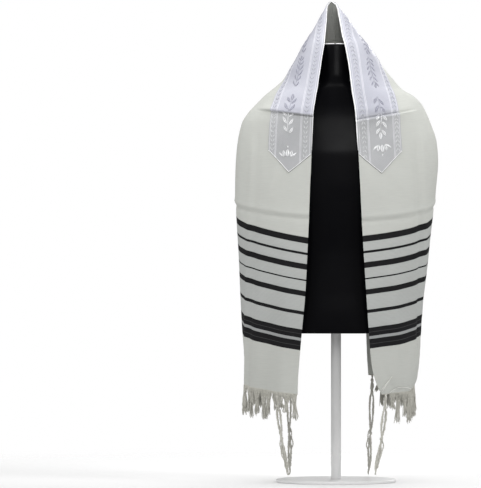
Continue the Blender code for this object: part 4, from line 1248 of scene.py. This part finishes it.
def make_eyelet_loops():
    """Cord that comes out of an eyelet near a corner and lies over the cloth to its edge, and one slack end."""
    builder = Builder()
    for tassel in TASSELS:
        if tassel.side < 0 and tassel.place == "front":
            continue
        reach = hem_lines[tassel.side][1][-1]
        for start, shift in ((0.045, 0.0), (0.041, -0.003)):
            inset = np.linspace(start, 0.004, 12)
            distance = inset if tassel.place == "front" else reach - inset
            rows = row_of_height(HEM_HEIGHT + np.linspace(0.040, 0.010, 12) + shift)
            columns = hem_column(tassel.side, distance)
            lift = 0.0009 + 0.0014 * np.sin(np.linspace(0.0, 3.0, 12))
            lift[0] = -0.0004
            tube(builder, on_cloth(tassel.side, rows, columns, lift), 0.0009, 6)
    distance = np.linspace(0.022, 0.095, 16)
    rows = row_of_height(HEM_HEIGHT + 0.002 + 0.010 * np.sin(np.linspace(0.0, 3.1, 16)))
    tube(builder, on_cloth(1, rows, hem_column(1, distance), np.full(16, 0.0012)), 0.0010, 6)
    return builder.finish("eyelet_loops", loop_yarn, "cream_yarn")


# ---- dress form ----
RIM_ROUND = 0.004
FORM_SEGMENTS = 96


def form_ring(level, inset, count):
    """A level outline of the form, moved in by an inset."""
    read = min(max(level, FORM_BOTTOM), FORM_TOP)
    width, front, back, power = (float(form_curves[name](read)) for name in FormSection._fields[1:])
    turn = 2 * np.pi * np.arange(count) / count
    x, y = oval(turn, width - inset, front + inset, 0.0, back - inset, power)
    return np.stack([x * np.where(turn <= np.pi, 1, -1), y, np.full(count, level)], axis=1)


def make_form():
    """The form's own sections, finely divided, with its rims rounded."""
    builder = Builder()
    top, bottom = FORM_TOP - RIM_ROUND, FORM_BOTTOM + RIM_ROUND
    levels = even_parts((top, 1.010, 0.900, bottom), (15, 33, 59))
    turns = np.linspace(0, np.pi / 2, 6)
    profile = [(top + RIM_ROUND * math.sin(a), RIM_ROUND * (1 - math.cos(a))) for a in turns[::-1]]
    profile += [(level, 0.0) for level in levels[:-1]]
    profile += [(bottom - RIM_ROUND * math.sin(a), RIM_ROUND * (1 - math.cos(a))) for a in turns]
    rings = [builder.add(form_ring(level, inset, FORM_SEGMENTS)) for level, inset in profile]
    builder.solid(rings, FORM_SEGMENTS)
    return builder.finish("form_shell", black, "black_plastic", ["dress_form"], sharp=50)


def make_neck_rim():
    """A thin pale rim round the top of the form's neck."""
    builder = Builder()
    tube(builder, form_ring(FORM_TOP, 0.0030, 72) + (0, 0, 0.0002), 0.0013, 6)
    return builder.finish("neck_rim", edge_silk, "white_satin")


sheet = make_sheet()
trimmings = [make_band(), make_piping(), *make_silk(), *make_point_cord_and_shadow()]
for which in (-1, 1):
    trimmings += [make_fringe(which), make_hem_roll(which)]
trimmings += [*(make_tassel(corner) for corner in TASSELS), make_eyelet_loops()]
make_form()
make_neck_rim()
for node in ("stand_base", "stand_pole"):
    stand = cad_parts[node]
    stand.data.materials.clear()
    stand.data.materials.append(paint)


# ---- floor, lights and camera ----
def make_floor():
    turn = 2 * np.pi * np.arange(64) / 64
    rim = [(FLOOR_RADIUS * math.cos(a), FLOOR_RADIUS * math.sin(a), 0.0) for a in turn]
    mesh = bpy.data.meshes.new("studio_floor")
    mesh.from_pydata([(0.0, 0.0, 0.0), *rim], [], [(0, 1 + i, 1 + (i + 1) % 64) for i in range(64)])
    mesh.materials.append(floor_shader())
    made = bpy.data.objects.new("studio_floor", mesh)
    bpy.context.scene.collection.objects.link(made)


def add_light(light):
    data = bpy.data.lights.new(light.name, "AREA")
    data.shape = "RECTANGLE"
    data.size, data.size_y = light.size
    data.energy = light.power
    data.spread = math.radians(light.spread)
    lamp = bpy.data.objects.new(light.name, data)
    bpy.context.scene.collection.objects.link(lamp)
    lamp.visible_camera = False
    lamp.location = light.place
    x, y, z = np.array(light.aim) - np.array(light.place)
    lamp.rotation_euler = (math.atan2(math.hypot(x, y), -z), 0, math.atan2(y, x) - math.pi / 2)


def make_air():
    """Soft light from all round, in front of a plain white background."""
    world = bpy.data.worlds.new("studio_air")
    bpy.context.scene.world = world
    world.use_nodes = True
    tree = world.node_tree
    air = tree.nodes["Background"]
    air.inputs["Color"].default_value = (1.0, 1.0, 1.0, 1)
    rays = tree.nodes.new("ShaderNodeLightPath")
    strength = tree.nodes.new("ShaderNodeMapRange")
    strength.inputs["To Min"].default_value = AIR_STRENGTH
    strength.inputs["To Max"].default_value = 1.0
    tree.links.new(rays.outputs["Is Camera Ray"], strength.inputs["Value"])
    tree.links.new(strength.outputs[0], air.inputs["Strength"])


make_floor()
for light in LIGHTS:
    add_light(light)
make_air()
bpy.context.scene.view_settings.view_transform = "Standard"

camera_data = bpy.data.cameras.new("photo_camera")
camera_data.sensor_width = SENSOR
camera_data.lens = SENSOR * CAMERA_DISTANCE / (PHOTO_SIZE[1] * PIXEL)
camera = bpy.data.objects.new("photo_camera", camera_data)
bpy.context.scene.collection.objects.link(camera)
aim_x, aim_z = (PHOTO_SIZE[0] / 2 - FIGURE_AXIS) * PIXEL, (FLOOR_LINE - PHOTO_SIZE[1] / 2) * PIXEL
camera.location = (0, -CAMERA_DISTANCE, aim_z)
camera.rotation_euler = (math.pi / 2, 0, math.atan2(-aim_x, CAMERA_DISTANCE))
bpy.context.scene.camera = camera
